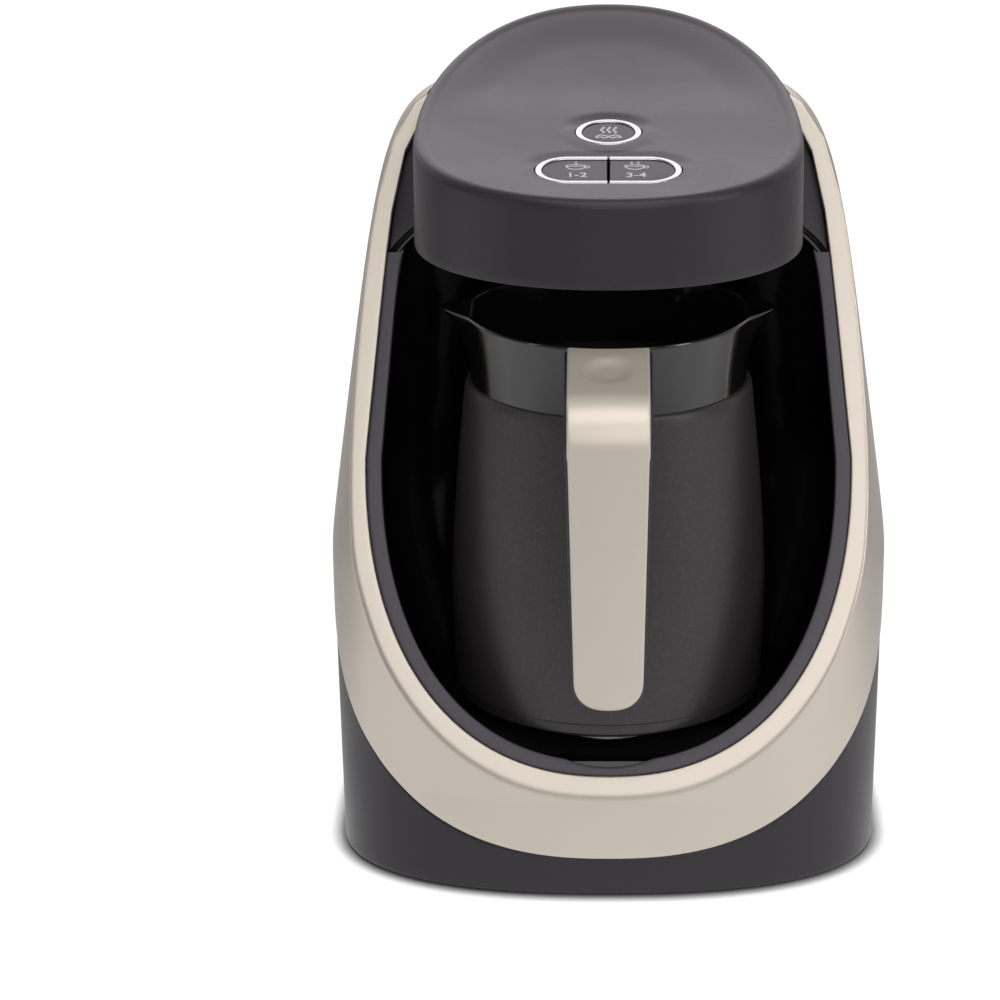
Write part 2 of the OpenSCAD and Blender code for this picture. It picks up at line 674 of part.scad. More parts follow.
// ======== Buttons ========
// A button is a cap with a stem in the carrier's sleeve; its rim is pressed on.
module stem() translate([0, 0, -board_drop + switch_h + button_travel + sink_clear])
    cylinder(h = board_drop - switch_h - button_travel - sink_clear - deck_sink - 1, r = stem_r);
module slow_button() color(rim_grey) on_deck() translate([0, round_v, 0]) {
    translate([0, 0, -deck_sink - 0.4 - cap_t]) cylinder(h = cap_t, d = round_d - 2 * chrome_w - 0.1);
    translate([0, 0, -deck_sink - 0.4 - cap_t]) cylinder(h = flange_t, d = round_d);
    stem();
}
module slow_button_rim() color(chrome) on_deck() translate([0, round_v, -deck_sink - rim_h]) difference() {
    cylinder(h = rim_h, d = round_d);
    translate([0, 0, -1]) cylinder(h = rim_h + 2, d = round_d - 2 * chrome_w);
}
module cup_button(side) color(rim_grey) on_deck() {
    translate([0, pill_v, -deck_sink - 0.4 - cap_t]) linear_extrude(cap_t) half_face_2d(side);
    translate([0, pill_v, -deck_sink - 0.4 - cap_t]) linear_extrude(flange_t) half_pill_2d(side, 0);
    translate([side * cup_x, pill_v, 0]) stem();
}
module cup_rim(side) color(chrome) on_deck() translate([0, pill_v, -deck_sink - rim_h])
    linear_extrude(rim_h) difference() {
        half_pill_2d(side, 0);
        pill_2d(pill_w - 2 * chrome_w, pill_d - 2 * chrome_w);
    }
module small_cup_button() cup_button(-1);
module small_cup_rim() cup_rim(-1);
module large_cup_button() cup_button(1);
module large_cup_rim() cup_rim(1);

// ======== Control electronics ========
board_deep = 44;
module control_board() color(board_green) on_deck() difference() {
    translate([-carrier_w / 2, pill_v - 9.5, -board_drop - board_t]) cube([carrier_w, board_deep, board_t]);
    for (p = carrier_legs_at) translate([p[0], p[1], -board_drop - 4]) cylinder(h = 6, r = 1.2);
}
module tact_switches() color(gloss_black) on_deck() button_places() {
    translate([-3, -3, -board_drop]) cube([6, 6, switch_h - 1]);
    translate([0, 0, -board_drop + switch_h - 1]) cylinder(h = 1, r = 1.7);
}
module indicator_leds() color(lens) on_deck() button_places()
    for (s = [-1, 1]) translate([s * 6 - 1, -1, -board_drop]) cube([2, 2, 1.2]);
module buzzer() color(gloss_black) on_deck() translate([0, round_v + 9.5, -board_drop]) {
    cylinder(h = 4.5, r = 5);
}
module board_screws() color(steel) on_deck() {
    for (p = carrier_legs_at) translate([p[0], p[1], -board_drop - board_t]) {
        cylinder(h = 6, r = 1);
        translate([0, 0, -1.4]) cylinder(h = 1.4, r = 2.2);
    }
    for (p = deck_posts_at) translate([p[0], p[1], -carrier_drop - carrier_t]) screw(7, 1.4);
}

// ======== Heating ========
module heating_plate() color(steel) translate([0, pot_y, 0]) {
    translate([0, 0, plate_z - plate_t + 0.8]) cylinder(h = plate_t - 0.8, r = plate_r);
    translate([0, 0, well_floor - liner_wall]) cylinder(h = plate_z - well_floor, r = plate_r - 2);
}
module plate_seal() color(rubber) translate([0, pot_y, well_floor]) difference() {
    cylinder(h = plate_z - plate_t + 0.8 - well_floor, r = plate_r - 0.2);
    translate([0, 0, -1]) cylinder(h = 8, r = plate_r - 1.4);
}
element_z = well_floor - liner_wall - element_d / 2;
module heating_element() color(steel) translate([0, pot_y, element_z]) {
    rotate([0, 0, 115]) rotate_extrude(angle = 310) translate([element_r, 0]) circle(d = element_d);
    for (s = [-1, 1]) rotate([0, 0, 90 + 25 * s]) translate([element_r, 0, -14])
        cylinder(h = 14, d = element_d - 2);
}
module element_bracket() color(steel) translate([0, pot_y, element_z - element_d / 2 - 1.2]) difference() {
    union() {
        translate([-plate_r - 6, -12, 0]) cube([2 * plate_r + 12, 24, 1.2]);
        for (s = [-1, 1]) translate([s * (plate_r + 3) - 3, -7, 0]) cube([6, 14, element_d + 1.2]);
    }
    cylinder(h = 8, r = 9, center = true);
}
module thermostat() color(gloss_black) translate([0, pot_y, well_floor - liner_wall - 9]) {
    cylinder(h = 9, r = 8);
    for (s = [-1, 1]) translate([s * 5 - 2, -0.4, -6]) cube([4, 0.8, 6.1]);
}
module thermal_fuse() color(ceramic) translate([-12, pot_y - 15, well_floor - liner_wall - 2])
    rotate([0, 90, 0]) cylinder(h = 24, r = 2);

// ======== Power electronics ========
module power_board() color(board_green) translate([0, power_y, power_z]) difference() {
    translate([-power_w / 2, 0, 0]) cube([power_w, board_t, power_h]);
    for (p = power_posts_at) translate([p[0], 0, p[1] - power_z]) rotate([90, 0, 0])
        cylinder(h = 8, r = screw_hole, center = true);
}
module power_parts() color(case_blue) translate([0, power_y, power_z]) {
    translate([-28, -10, 58]) cube([19, 10, 15]);
    translate([10, -12, 20]) cube([22, 12, 26]);
    translate([-20, 0, 26]) rotate([90, 0, 0]) cylinder(h = 11, r = 5);
    translate([-4, -8, 20]) cube([8, 8, 16]);
    translate([2, -9, 62]) cube([26, 9, 10]);
}
module power_screws() color(steel) for (p = power_posts_at)
    translate([p[0], power_y + board_t, p[1]]) rotate([90, 0, 0]) screw(9);
module run(a, b, r) {
    v = b - a;
    len = norm(v);
    translate(a) rotate([0, acos(v[2] / len), atan2(v[1], v[0])]) cylinder(h = len, r = r);
    translate(b) sphere(r);
}
module wire(pts, r) for (i = [0:len(pts) - 2]) run(pts[i], pts[i + 1], r, $fn = 10);

module internal_wires() color(sleeve) one_skin() {
    for (s = [-1, 1]) wire([
        [s * 3, power_y - wire_r, power_z + power_h - 4], [s * 3, power_y - wire_r, under_z - 16],
        [s * 3, wire_y, under_z - 10], [s * 3, wire_y, under_z + 9],
        [s * 3, deck_y + 26, deck_z - 16], [s * 3, deck_y + 15.5, deck_z - board_drop - 1]], wire_r);
    for (s = [-1, 1]) wire([
        [s * 11, pot_y + 23.5, element_z - 15], [s * 11, pot_y + 40, element_z - 18],
        [s * 11, power_y - 3, element_z - 6], [s * 11, power_y - wire_r, power_z + 5]], wire_r);
    for (s = [-1, 1]) wire([
        [s * 2, clamp_y - 6, gland_z], [s * 2, power_y + 6, gland_z + 4],
        [s * 7, power_y + board_t + wire_r, power_z + 6]], wire_r);
}

// ======== Pot ========
pot_shoulder = 1.2;
pot_side = [for (i = [0:pot_steps]) base_h + (pot_h - crown_h - pot_shoulder - base_h) * i / pot_steps];
module pot_body() color(pot_grey) translate([0, pot_y, pot_z]) rotate_extrude() polygon(concat(
    [for (h = pot_side) [pot_rad(h), h]],
    [[neck_r - 0.5, pot_h - crown_h - 0.3], [neck_r - neck_step, pot_h - crown_h],
        [neck_r - neck_step - pot_wall, pot_h - crown_h]],
    [for (i = [pot_steps:-1:0]) [pot_rad(pot_side[i]) - pot_wall, max(pot_side[i], base_h + pot_wall)]],
    [[0, base_h + pot_wall], [0, base_h]]));
module pot_crown() color(pot_grey) translate([0, pot_y, 0]) one_skin() difference() {
    loft([for (t = crown_levels) crown_ring(t, 0)]);
    loft([for (t = concat([-0.1], crown_levels, [1.2])) crown_ring(t, pot_wall)]);
}
module pot_base() color(pot_grey) translate([0, pot_y, pot_z]) rotate_extrude()
    polygon([[0, 0], [seam_r_pot - 3.6, 0], [seam_r_pot - 1.6, 0.7], [seam_r_pot - 0.5, 1.8],
        [seam_r_pot - 0.1, base_h], [0, base_h]]);
rivet_z = handle_top_z - 6;
module crown_clear(d) translate([0, pot_y, 0]) rotate_extrude() polygon(concat(
    [[0, crown_z - 20], [pot_r, crown_z - 20], [pot_r, crown_z]],
    [for (t = crown_levels) [crown_rad(0, t) + d, crown_z + crown_h * t]],
    [[mouth_r + d, crown_z + crown_h + 20], [0, crown_z + crown_h + 20]]));
module handle_core() color(gloss_black) difference() {
    handle_part(bend_r - cover_t, bend_r - cover_t - handle_t, 0);
    crown_clear(0.1);
    for (s = [-1, 1]) translate([s * 6, pot_y, rivet_z]) rotate([90, 0, 0])
        cylinder(h = mouth_r + 10, r = 1.25);
}
thumb_deep = 1.2;
thumb_r = 38;
module handle_cover() color(champagne) difference() {
    handle_part(bend_r, bend_r - cover_t, cover_edge);
    crown_clear(0.3);
    translate([0, root_y - 12, bend_c[1] + bend_r + thumb_r - thumb_deep]) sphere(thumb_r);
}
module handle_rivets() color(steel) for (s = [-1, 1])
    translate([s * 6, pot_y - crown_rad(0, 0.66) - 0.05, rivet_z]) rotate([90, 0, 0])
        cylinder(h = 9, r = 1.2);

rear_housing();
trim_collar();
rim_ring();
cavity_liner();
cheek_panels();
bottom_plate();
rubber_feet();
base_screws();
cord_gland();
cord_clamp();
clamp_screws();
head_shell();
head_underside();
head_screws();
sensor_window();
sensor_board();
button_carrier();
slow_button();
slow_button_rim();
small_cup_button();
small_cup_rim();
large_cup_button();
large_cup_rim();
control_board();
tact_switches();
indicator_leds();
buzzer();
board_screws();
heating_plate();
plate_seal();
heating_element();
element_bracket();
thermostat();
thermal_fuse();
power_board();
power_parts();
power_screws();
internal_wires();
pot_body();
pot_crown();
pot_base();
handle_core();
handle_cover();
handle_rivets();
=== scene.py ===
import json
import math
import bmesh
import bpy
import numpy as np
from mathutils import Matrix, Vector


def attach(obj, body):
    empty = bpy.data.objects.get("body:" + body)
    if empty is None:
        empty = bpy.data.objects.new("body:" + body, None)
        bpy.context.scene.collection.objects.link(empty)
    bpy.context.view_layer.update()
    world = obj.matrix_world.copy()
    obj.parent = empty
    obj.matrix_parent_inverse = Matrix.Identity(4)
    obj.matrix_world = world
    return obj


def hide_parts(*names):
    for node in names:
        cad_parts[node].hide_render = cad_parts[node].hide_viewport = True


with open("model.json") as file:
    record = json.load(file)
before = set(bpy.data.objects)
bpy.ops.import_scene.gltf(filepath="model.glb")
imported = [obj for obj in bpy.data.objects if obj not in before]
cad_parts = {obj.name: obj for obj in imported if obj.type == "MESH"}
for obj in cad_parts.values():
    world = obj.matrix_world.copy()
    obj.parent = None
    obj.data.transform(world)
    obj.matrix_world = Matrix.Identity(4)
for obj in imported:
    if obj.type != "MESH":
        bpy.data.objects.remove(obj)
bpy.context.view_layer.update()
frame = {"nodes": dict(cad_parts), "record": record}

# ---------------------------------------------------------------- camera and studio
# The machine stands on a pale table in a plain white room. Broad soft lamps hang behind,
# above and in front of it, and a tall narrow one at each side lights its edges.
camera_data = bpy.data.cameras.new("camera")
camera = bpy.data.objects.new("camera", camera_data)
bpy.context.scene.collection.objects.link(camera)
camera_data.sensor_width = 36
camera_data.lens = 160.524
camera_data.shift_x = -0.1085
camera_data.shift_y = -0.0316
camera_data.clip_start = 0.01
camera_data.clip_end = 30
camera.location = (0, -1.230, 0.503)
camera.rotation_euler = (math.radians(90 - 18.13), 0, 0)
bpy.context.scene.camera = camera


def lamp(name, place, target, size, power, tint=(1, 1, 1)):
    light = bpy.data.lights.new(name, "AREA")
    light.shape = "RECTANGLE"
    light.size, light.size_y = size
    light.energy = power
    light.color = tint
    holder = bpy.data.objects.new(name, light)
    holder.location = place
    aim = Vector(target) - Vector(place)
    holder.rotation_euler = aim.to_track_quat("-Z", "Y").to_euler()
    holder.visible_camera = False
    bpy.context.scene.collection.objects.link(holder)


lamp("back", (0.0, 1.35, 1.20), (0, 0, 0.15), (2.2, 1.1), 10, (1.0, 0.94, 1.02))
lamp("over", (0.10, -0.75, 1.80), (0, 0, 0.1), (1.6, 1.2), 14)
lamp("front", (0.25, -1.70, 0.90), (0, 0, 0.1), (1.4, 1.0), 8)
lamp("left", (-1.25, -0.70, 0.60), (0, 0, 0.1), (0.15, 1.2), 1.2)
lamp("right", (1.20, -0.70, 0.70), (0, 0, 0.1), (0.3, 1.2), 5)

ROOM_LEVEL = 0.12
world = bpy.data.worlds.new("room")
bpy.context.scene.world = world
world.use_nodes = True
room = world.node_tree
sky = room.nodes["Background"]
sky.inputs["Color"].default_value = (1, 1, 1, 1)


def sky_maths(operation, *values):
    step = room.nodes.new("ShaderNodeMath")
    step.operation = operation
    for socket, value in zip(step.inputs, values):
        if isinstance(value, (int, float)):
            socket.default_value = value
        else:
            room.links.new(value, socket)
    return step.outputs[0]


rays = room.nodes.new("ShaderNodeLightPath").outputs
toward = room.nodes.new("ShaderNodeSeparateXYZ")
room.links.new(room.nodes.new("ShaderNodeTexCoord").outputs["Generated"], toward.inputs[0])
backdrop = room.nodes.new("ShaderNodeMapRange")
backdrop.interpolation_type = "SMOOTHSTEP"
room.links.new(toward.outputs["Y"], backdrop.inputs["Value"])
for socket, value in (("From Min", 0.0), ("From Max", 0.6), ("To Min", 0.22), ("To Max", 0.8)):
    backdrop.inputs[socket].default_value = value
mirrored = sky_maths("MAXIMUM", rays["Is Glossy Ray"], rays["Is Transmission Ray"])
level = sky_maths("MULTIPLY", mirrored, backdrop.outputs[0])
level = sky_maths("MAXIMUM", level, rays["Is Camera Ray"])
unmirrored = sky_maths("SUBTRACT", 1, mirrored)
level = sky_maths("MAXIMUM", level, sky_maths("MULTIPLY", unmirrored, ROOM_LEVEL))
room.links.new(level, sky.inputs["Strength"])

bpy.context.scene.view_settings.view_transform = "Standard"


# ---------------------------------------------------------------- tower: rear housing
# The tower's rear half and its skirt: one moulding of satin anthracite plastic with a
# fine metallic flake, 2.4 mm thick, open underneath and in front of the seam. Its back
# has two rows of vent slots and, low down, the seat of the cord's gland.
class Value:
    """One output of a finish's nodes, so that shader maths reads as a plain expression."""

    def __init__(self, finish, socket):
        self.finish = finish
        self.socket = socket

    def maths(self, operation, first, second):
        return self.finish.node("Math", {"operation": operation}, {0: first, 1: second})

    def __add__(self, other):
        return self.maths("ADD", self, other)

    def __sub__(self, other):
        return self.maths("SUBTRACT", self, other)

    def __rsub__(self, other):
        return self.maths("SUBTRACT", other, self)

    def __mul__(self, other):
        return self.maths("MULTIPLY", self, other)

    def __pow__(self, other):
        return self.maths("POWER", self, other)

    __radd__ = __add__
    __rmul__ = __mul__


class Finish:
    """A node material: constants sit on the shader, what varies is fed to it."""

    def __init__(self, name, color, roughness, **constants):
        self.material = bpy.data.materials.new(name)
        self.material.use_nodes = True
        self.tree = self.material.node_tree
        self.shader = self.tree.nodes["Principled BSDF"]
        self.color = tuple(srgb(channel / 255) for channel in color) + (1,)
        self.shader.inputs["Base Color"].default_value = self.color
        self.shader.inputs["Roughness"].default_value = roughness
        for socket, value in constants.items():
            self.shader.inputs[socket.replace("_", " ")].default_value = value
        self.place = self.node("TexCoord", out="Object")

    def node(self, kind, settings=None, inputs=None, out=0):
        made = self.tree.nodes.new("ShaderNode" + kind)
        for key, value in (settings or {}).items():
            if key == "stops":
                while len(made.color_ramp.elements) < len(value):
                    made.color_ramp.elements.new(0.5)
                for stop, (at, level) in zip(made.color_ramp.elements, value):
                    stop.position = at
                    stop.color = (level, level, level, 1)
            else:
                setattr(made, key, value)
        for key, value in (inputs or {}).items():
            if isinstance(value, Value):
                self.tree.links.new(value.socket, made.inputs[key])
            else:
                made.inputs[key].default_value = value
        return Value(self, made.outputs[out])

    def noise(self, scale, detail):
        return self.node(
            "TexNoise", {}, {"Vector": self.place, "Scale": scale, "Detail": detail}, "Fac")

    def parts(self, vector):
        """A vector's three numbers."""
        split = self.node("SeparateXYZ", {}, {"Vector": vector}).socket.node
        return [Value(self, split.outputs[axis]) for axis in "XYZ"]

    def spread(self, value, low, high):
        """The part of a value between low and high, drawn out to 0 to 1."""
        return self.node("ValToRGB", {"stops": [(low, 0.0), (high, 1.0)]}, {"Fac": value})

    def mix(self, factor, first, second):
        return self.node("Mix", {"data_type": "RGBA"}, {0: factor, 6: first, 7: second}, 2)

    def feed(self, socket, value):
        self.tree.links.new(value.socket, self.shader.inputs[socket])
        return self

    def bump(self, height, depth, strength=1.0):
        return self.feed("Normal", self.node(
            "Bump", {}, {"Height": height, "Distance": depth, "Strength": strength}, "Normal"))

    def shade(self, amount):
        """The finish's own colour, lighter or darker by an amount."""
        return tuple(min(1.0, channel * amount) for channel in self.color[:3]) + (1,)


def srgb(channel):
    return channel / 12.92 if channel <= 0.04045 else ((channel + 0.055) / 1.055) ** 2.4


def satin_plastic(name, color, roughness, flake):
    """Sprayed satin plastic: a fine flake, a trace of orange peel and slight mottling."""
    finish = Finish(name, color, roughness, Specular_IOR_Level=0.4,
                    Specular_Tint=(0.97, 0.93, 1.0, 1))
    grains = finish.node("TexVoronoi", {}, {"Vector": finish.place, "Scale": 3400}, "Color")
    sparkle = finish.spread(grains, 0.55, 0.95)
    mottle = finish.noise(45, 3)
    finish.feed("Base Color", finish.mix(
        sparkle * flake, finish.mix(mottle, finish.shade(0.93), finish.shade(1.06)), finish.shade(2.1)))
    finish.feed("Roughness", roughness + (mottle - 0.5) * 0.10 - sparkle * 0.05)
    peel = finish.noise(900, 2) * 0.6 + grains * 0.4
    return finish.bump(peel, 0.00004, 0.35)


anthracite = satin_plastic("anthracite", (42, 38, 41), 0.40, 0.2)

MM = 0.001
FRONT_Y, BACK_Y, TOWER_H, WAIST_Z = -80.0, 104.0, 214.0, 85.0
HALF_W, FOOT_NARROWER, FOOT_BACK, SKIRT_LOW = 79.05, 2.5, 1.55, 0.8
LEAN = math.radians(25)
LIP_Z = 26.0
TOWER_COLUMNS = 224
SHELL_WALL = 2.4
PROUD = 0.4


def mid_y(z):
    """The tower's middle in depth at a height."""
    return FRONT_Y + 51 + 0.15 * z


def close_at(t, taper, power):
    """What is left of a width at a share of the height: a taper, then a rounded top."""
    soft = 0.05
    return ((1 - taper * (np.sqrt(t * t + soft * soft) - soft))
            * np.maximum(0, 1 - t ** power) ** (1 / power))


def rise(z, inset):
    return np.clip((z - WAIST_Z) / (TOWER_H - inset - WAIST_Z), 0, 1)


def tower_skin(angle, z, inset):
    """A point of the tower's outside, inset by some millimetres; angle 0 is its front."""
    half = HALF_W - FOOT_NARROWER * np.maximum(0, 1 - z / WAIST_Z) ** 1.3
    half = half * close_at(rise(z, inset), 0.215, 8) - inset
    back = math.cos(angle) < 0
    power = 2.6 if back else 2.42 + 0.16 * np.clip((z - 35) / 30, 0, 1)
    if back:
        deep = (BACK_Y - mid_y(z)) * close_at(rise(z, inset), 0.25, 3.5) - inset
    else:
        deep = mid_y(z) - FRONT_Y - FOOT_BACK * np.clip((z - 4) / 24, 0, 1) - inset
    side = abs(math.sin(angle)) ** (2 / power) * (1 if angle > 0 else -1)
    along = abs(math.cos(angle)) ** (2 / power) * (1 if back else -1)
    return np.stack([half * side, mid_y(z) + deep * along, z + 0 * half], -1)


def upright(angle, inset, low=SKIRT_LOW):
    """The tower's outline at one angle, from the skirt's edge to the top."""
    w = np.linspace(0, 1, 900)
    z = low + (TOWER_H - inset - low) * (1 - (1 - w) ** 2.6)
    return tower_skin(angle, z, inset)


def seam_y(z):
    """The seam between the collar and the housing, seen from the side: straight, a wide
    bend, and straight again."""
    slope, run, radius, foot_z, below, above = math.radians(48), 46.0, 250.0, 10.3, 60, 300
    turn = np.linspace(slope, math.pi / 2 - LEAN, 24)
    bend_y = FRONT_Y + run * math.cos(slope) + radius * (np.sin(turn) - math.sin(slope))
    bend_z = foot_z + run * math.sin(slope) + radius * (math.cos(slope) - np.cos(turn))
    ys = np.concatenate([[FRONT_Y - below * math.cos(slope)], bend_y,
                         [bend_y[-1] + above * math.sin(LEAN)]])
    zs = np.concatenate([[foot_z - below * math.sin(slope)], bend_z,
                         [bend_z[-1] + above * math.cos(LEAN)]])
    return np.interp(z, zs, ys)


def face_y(z):
    """The leaning plane of the opening, seen from the side."""
    return FRONT_Y + (z - LIP_Z) * math.tan(LEAN)


def upto(line, ahead):
    """A line as far as the first place where the value ahead falls below zero."""
    where = int(np.argmax(ahead < 0)) if (ahead < 0).any() else len(line) - 1
    where = max(1, where)
    a, b = ahead[where - 1], ahead[where]
    part = a / (a - b) if a != b else 0.0
    return np.vstack([line[:where], line[where - 1] + (line[where] - line[where - 1]) * part])


def evenly(line, count):
    """The same line with count points, evenly spaced along it."""
    steps = np.concatenate([[0], np.cumsum(np.linalg.norm(np.diff(line, axis=0), axis=1))])
    places = np.linspace(0, 1, count) * steps[-1]
    return np.stack([np.interp(places, steps, line[:, k]) for k in range(3)], -1)


def skin(name, rows, ring=True, tube=False, material=None, crease=35, caps=False):
    """A grid of rows of points, in millimetres, closed round its rows and, as a tube,
    from its last row to its first. Rows that shrink to one point are closed too."""
    rows = np.asarray(rows, float)
    if ring:
        rows = np.concatenate([rows, rows[:, :1]], 1)
    if tube:
        rows = np.concatenate([rows, rows[:1]], 0)
    bpy.ops.object.select_all(action="DESELECT")
    bpy.ops.mesh.primitive_grid_add(
        x_subdivisions=rows.shape[1] - 1, y_subdivisions=rows.shape[0] - 1, size=1)
    piece = bpy.context.active_object
    piece.name = piece.data.name = name
    piece.data.vertices.foreach_set("co", (rows * MM).ravel().astype(np.float32))
    bpy.ops.object.mode_set(mode="EDIT")
    bpy.ops.mesh.select_all(action="SELECT")
    bpy.ops.mesh.remove_doubles(threshold=2e-6)
    if caps:
        bpy.ops.mesh.select_all(action="DESELECT")
        bpy.ops.mesh.select_mode(type="EDGE")
        bpy.ops.mesh.select_non_manifold()
        bpy.ops.mesh.fill_holes(sides=0)
    bpy.ops.mesh.select_all(action="SELECT")
    bpy.ops.mesh.normals_make_consistent(inside=False)
    bpy.ops.object.mode_set(mode="OBJECT")
    uv = piece.data.uv_layers
    while uv:
        uv.remove(uv[0])
    if material:
        piece.data.materials.append(material)
    smooth(piece, crease)
    return piece


def smooth(piece, crease):
    bpy.ops.object.select_all(action="DESELECT")
    piece.select_set(True)
    bpy.context.view_layer.objects.active = piece
    bpy.ops.object.shade_smooth_by_angle(angle=math.radians(crease))


def modified(piece, kind, **settings):
    """The piece with one modifier applied."""
    change = piece.modifiers.new(kind.lower(), kind)
    for key, value in settings.items():
        setattr(change, key, value)
    bpy.ops.object.select_all(action="DESELECT")
    piece.select_set(True)
    bpy.context.view_layer.objects.active = piece
    bpy.ops.object.modifier_apply(modifier=change.name)
    return piece


def prism(name, outline, low, high, place=lambda x, y, z: (x, y, z)):
    """A straight-sided block over an outline, used to cut with."""
    count = len(outline)
    bpy.ops.object.select_all(action="DESELECT")
    bpy.ops.mesh.primitive_circle_add(vertices=count, fill_type="NGON")
    block = bpy.context.active_object
    block.name = name
    flat = np.array([place(x, y, low) for x, y in outline]) * MM
    block.data.vertices.foreach_set("co", flat.ravel().astype(np.float32))
    up = (np.array(place(0, 0, high)) - np.array(place(0, 0, low))) * MM
    bpy.ops.object.mode_set(mode="EDIT")
    bpy.ops.mesh.select_all(action="SELECT")
    bpy.ops.mesh.extrude_region_move(TRANSFORM_OT_translate={"value": tuple(up)})
    bpy.ops.mesh.select_all(action="SELECT")
    bpy.ops.mesh.normals_make_consistent(inside=False)
    bpy.ops.object.mode_set(mode="OBJECT")
    return block


def cut(piece, cutter, operation="DIFFERENCE", keep=False):
    modified(piece, "BOOLEAN", object=cutter, operation=operation, solver="EXACT")
    if not keep:
        bpy.data.objects.remove(cutter)
    return piece


def superellipse(angle, half, power):
    """A point on a superellipse at an angle from the y axis."""
    return (half * math.copysign(abs(math.sin(angle)) ** (2 / power), math.sin(angle)),
            math.copysign(abs(math.cos(angle)) ** (2 / power), math.cos(angle)))


HEAD_MID_Y, HEAD_FRONT, HEAD_BACK, HEAD_HALF, HEAD_Z = -26.5, 50.5, 83.0, 54.2, 175.5
HEAD_GAP = 0.4


def head_point(angle, inset, part=1.0):
    """A point of the head's outline seen from above; angle 0 is its rear."""
    back = math.cos(angle) > 0
    x, y = superellipse(angle, part * (HEAD_HALF - inset), 2.22 if back else 2.1)
    return x, HEAD_MID_Y + part * ((HEAD_BACK if back else HEAD_FRONT) - inset) * y


def head_cutter():
    """The room for the head, with its clearance."""
    turns = np.linspace(0, 2 * math.pi, 240, endpoint=False)
    return prism("head_room", [head_point(t, -HEAD_GAP) for t in turns], HEAD_Z - HEAD_GAP, 300)


tower_angles = np.linspace(-math.pi, math.pi, TOWER_COLUMNS, endpoint=False) + 1e-6


def seam_point(angle, inset, behind):
    """Where the tower's skin meets the seam, moved back by some millimetres."""
    line = upright(angle, inset)
    return upto(line, line[:, 1] - seam_y(line[:, 2]) - behind)[-1]


def housing_section(angle):
    """The rim of the floor, the outside, the rounded edge at the seam and the inside."""
    outer = upright(angle, PROUD, SKIRT_LOW + 0.7)
    outer = upto(outer, outer[:, 1] - seam_y(outer[:, 2]) - 0.75)
    inner = upright(angle, PROUD + SHELL_WALL)
    inner = upto(inner, inner[:, 1] - seam_y(inner[:, 2]) - 0.3)[::-1]
    foot = [tower_skin(angle, SKIRT_LOW, PROUD + 0.7),
            tower_skin(angle, SKIRT_LOW + 0.2, PROUD + 0.2)]
    edge = [seam_point(angle, PROUD + 0.13, 0.43), seam_point(angle, PROUD + 0.45, 0.3)]
    return np.vstack([foot, evenly(outer, 84), edge, evenly(inner, 14)])


def circle(radius, count=96, x=0.0, y=0.0):
    return [(x + radius * math.sin(t), y + radius * math.cos(t))
            for t in np.linspace(0, 2 * math.pi, count, endpoint=False)]


def pill(width, depth, y=0.0, count=48):
    straight = (width - depth) / 2
    right = [(straight + depth / 2 * math.sin(t), y + depth / 2 * math.cos(t))
             for t in np.linspace(0, math.pi, count)]
    return right + [(-px, 2 * y - py) for px, py in right]


VENT_W, VENT_H, VENT_STEP, VENTS, VENT_LOW, VENT_HIGH = 3.2, 16.0, 9.0, 9, 58, 80
GLAND_Z, GLAND_HOLE, GLAND_SEAT = 20, 6.6, 9.0


def from_behind(x, z, y):
    """Drawn on the back: across, up, and then backwards."""
    return x, y, z


def cut_vents(shell):
    """One slot, copied along its row and the row copied up, then all cut at once."""
    first_x = -(VENTS // 2) * VENT_STEP
    outline = [(first_x + a, VENT_LOW + b) for b, a in pill(VENT_H, VENT_W, count=10)]
    slots = prism("slots", outline, 80, 120, from_behind)
    bpy.ops.object.mode_set(mode="EDIT")
    for _ in range(VENTS - 1):
        bpy.ops.mesh.duplicate_move(TRANSFORM_OT_translate={"value": (VENT_STEP * MM, 0, 0)})
    bpy.ops.mesh.select_all(action="SELECT")
    bpy.ops.mesh.duplicate_move(TRANSFORM_OT_translate={"value": (0, 0, (VENT_HIGH - VENT_LOW) * MM)})
    bpy.ops.object.mode_set(mode="OBJECT")
    cut(shell, slots)


housing = skin("housing", np.stack([housing_section(a) for a in tower_angles], 1),
               tube=True, material=anthracite.material)
cut(housing, head_cutter())
cut_vents(housing)
cut(housing, prism("gland_hole", circle(GLAND_HOLE, 48, 0, GLAND_Z), 90, 120, from_behind))
cut(housing, prism("gland_seat", circle(GLAND_SEAT, 64, 0, GLAND_Z), 102, 120, from_behind))
smooth(housing, 35)
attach(housing, "tower")
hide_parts("rear_housing")

# ---------------------------------------------------------------- tower: champagne collar
# A lacquered champagne moulding that frames the leaning opening and runs back over the
# sides to the seam, standing 0.4 mm proud of the housing, round outside and crisp at its lip.


def pearl_lacquer(name, color, roughness, metal):
    """Pearl lacquer: a very fine pearl under a clear coat that has a trace of orange peel."""
    finish = Finish(name, color, roughness, Coat_Weight=0.15, Coat_Roughness=0.15, Metallic=metal,
                    Specular_IOR_Level=0.4)
    cloud, pearl = finish.noise(30, 2), finish.noise(2600, 2)
    finish.feed("Base Color", finish.mix(
        cloud * 0.6 + pearl * 0.4, finish.shade(0.95), finish.shade(1.03)))
    finish.feed("Roughness", roughness + (pearl - 0.5) * 0.06)
    return finish.bump(finish.noise(420, 2), 0.00003, 0.2)


champagne = pearl_lacquer("champagne", (205, 195, 183), 0.34, 0.65)

ARCH_MID = (116 - LIP_Z) / math.cos(LEAN)


def on_face(x, v, out):
    """A place on the opening's leaning plane: across, up it, and out from it."""
    return np.array([x, FRONT_Y + v * math.sin(LEAN) - out * math.cos(LEAN),
                     LIP_Z + v * math.cos(LEAN) + out * math.sin(LEAN)])


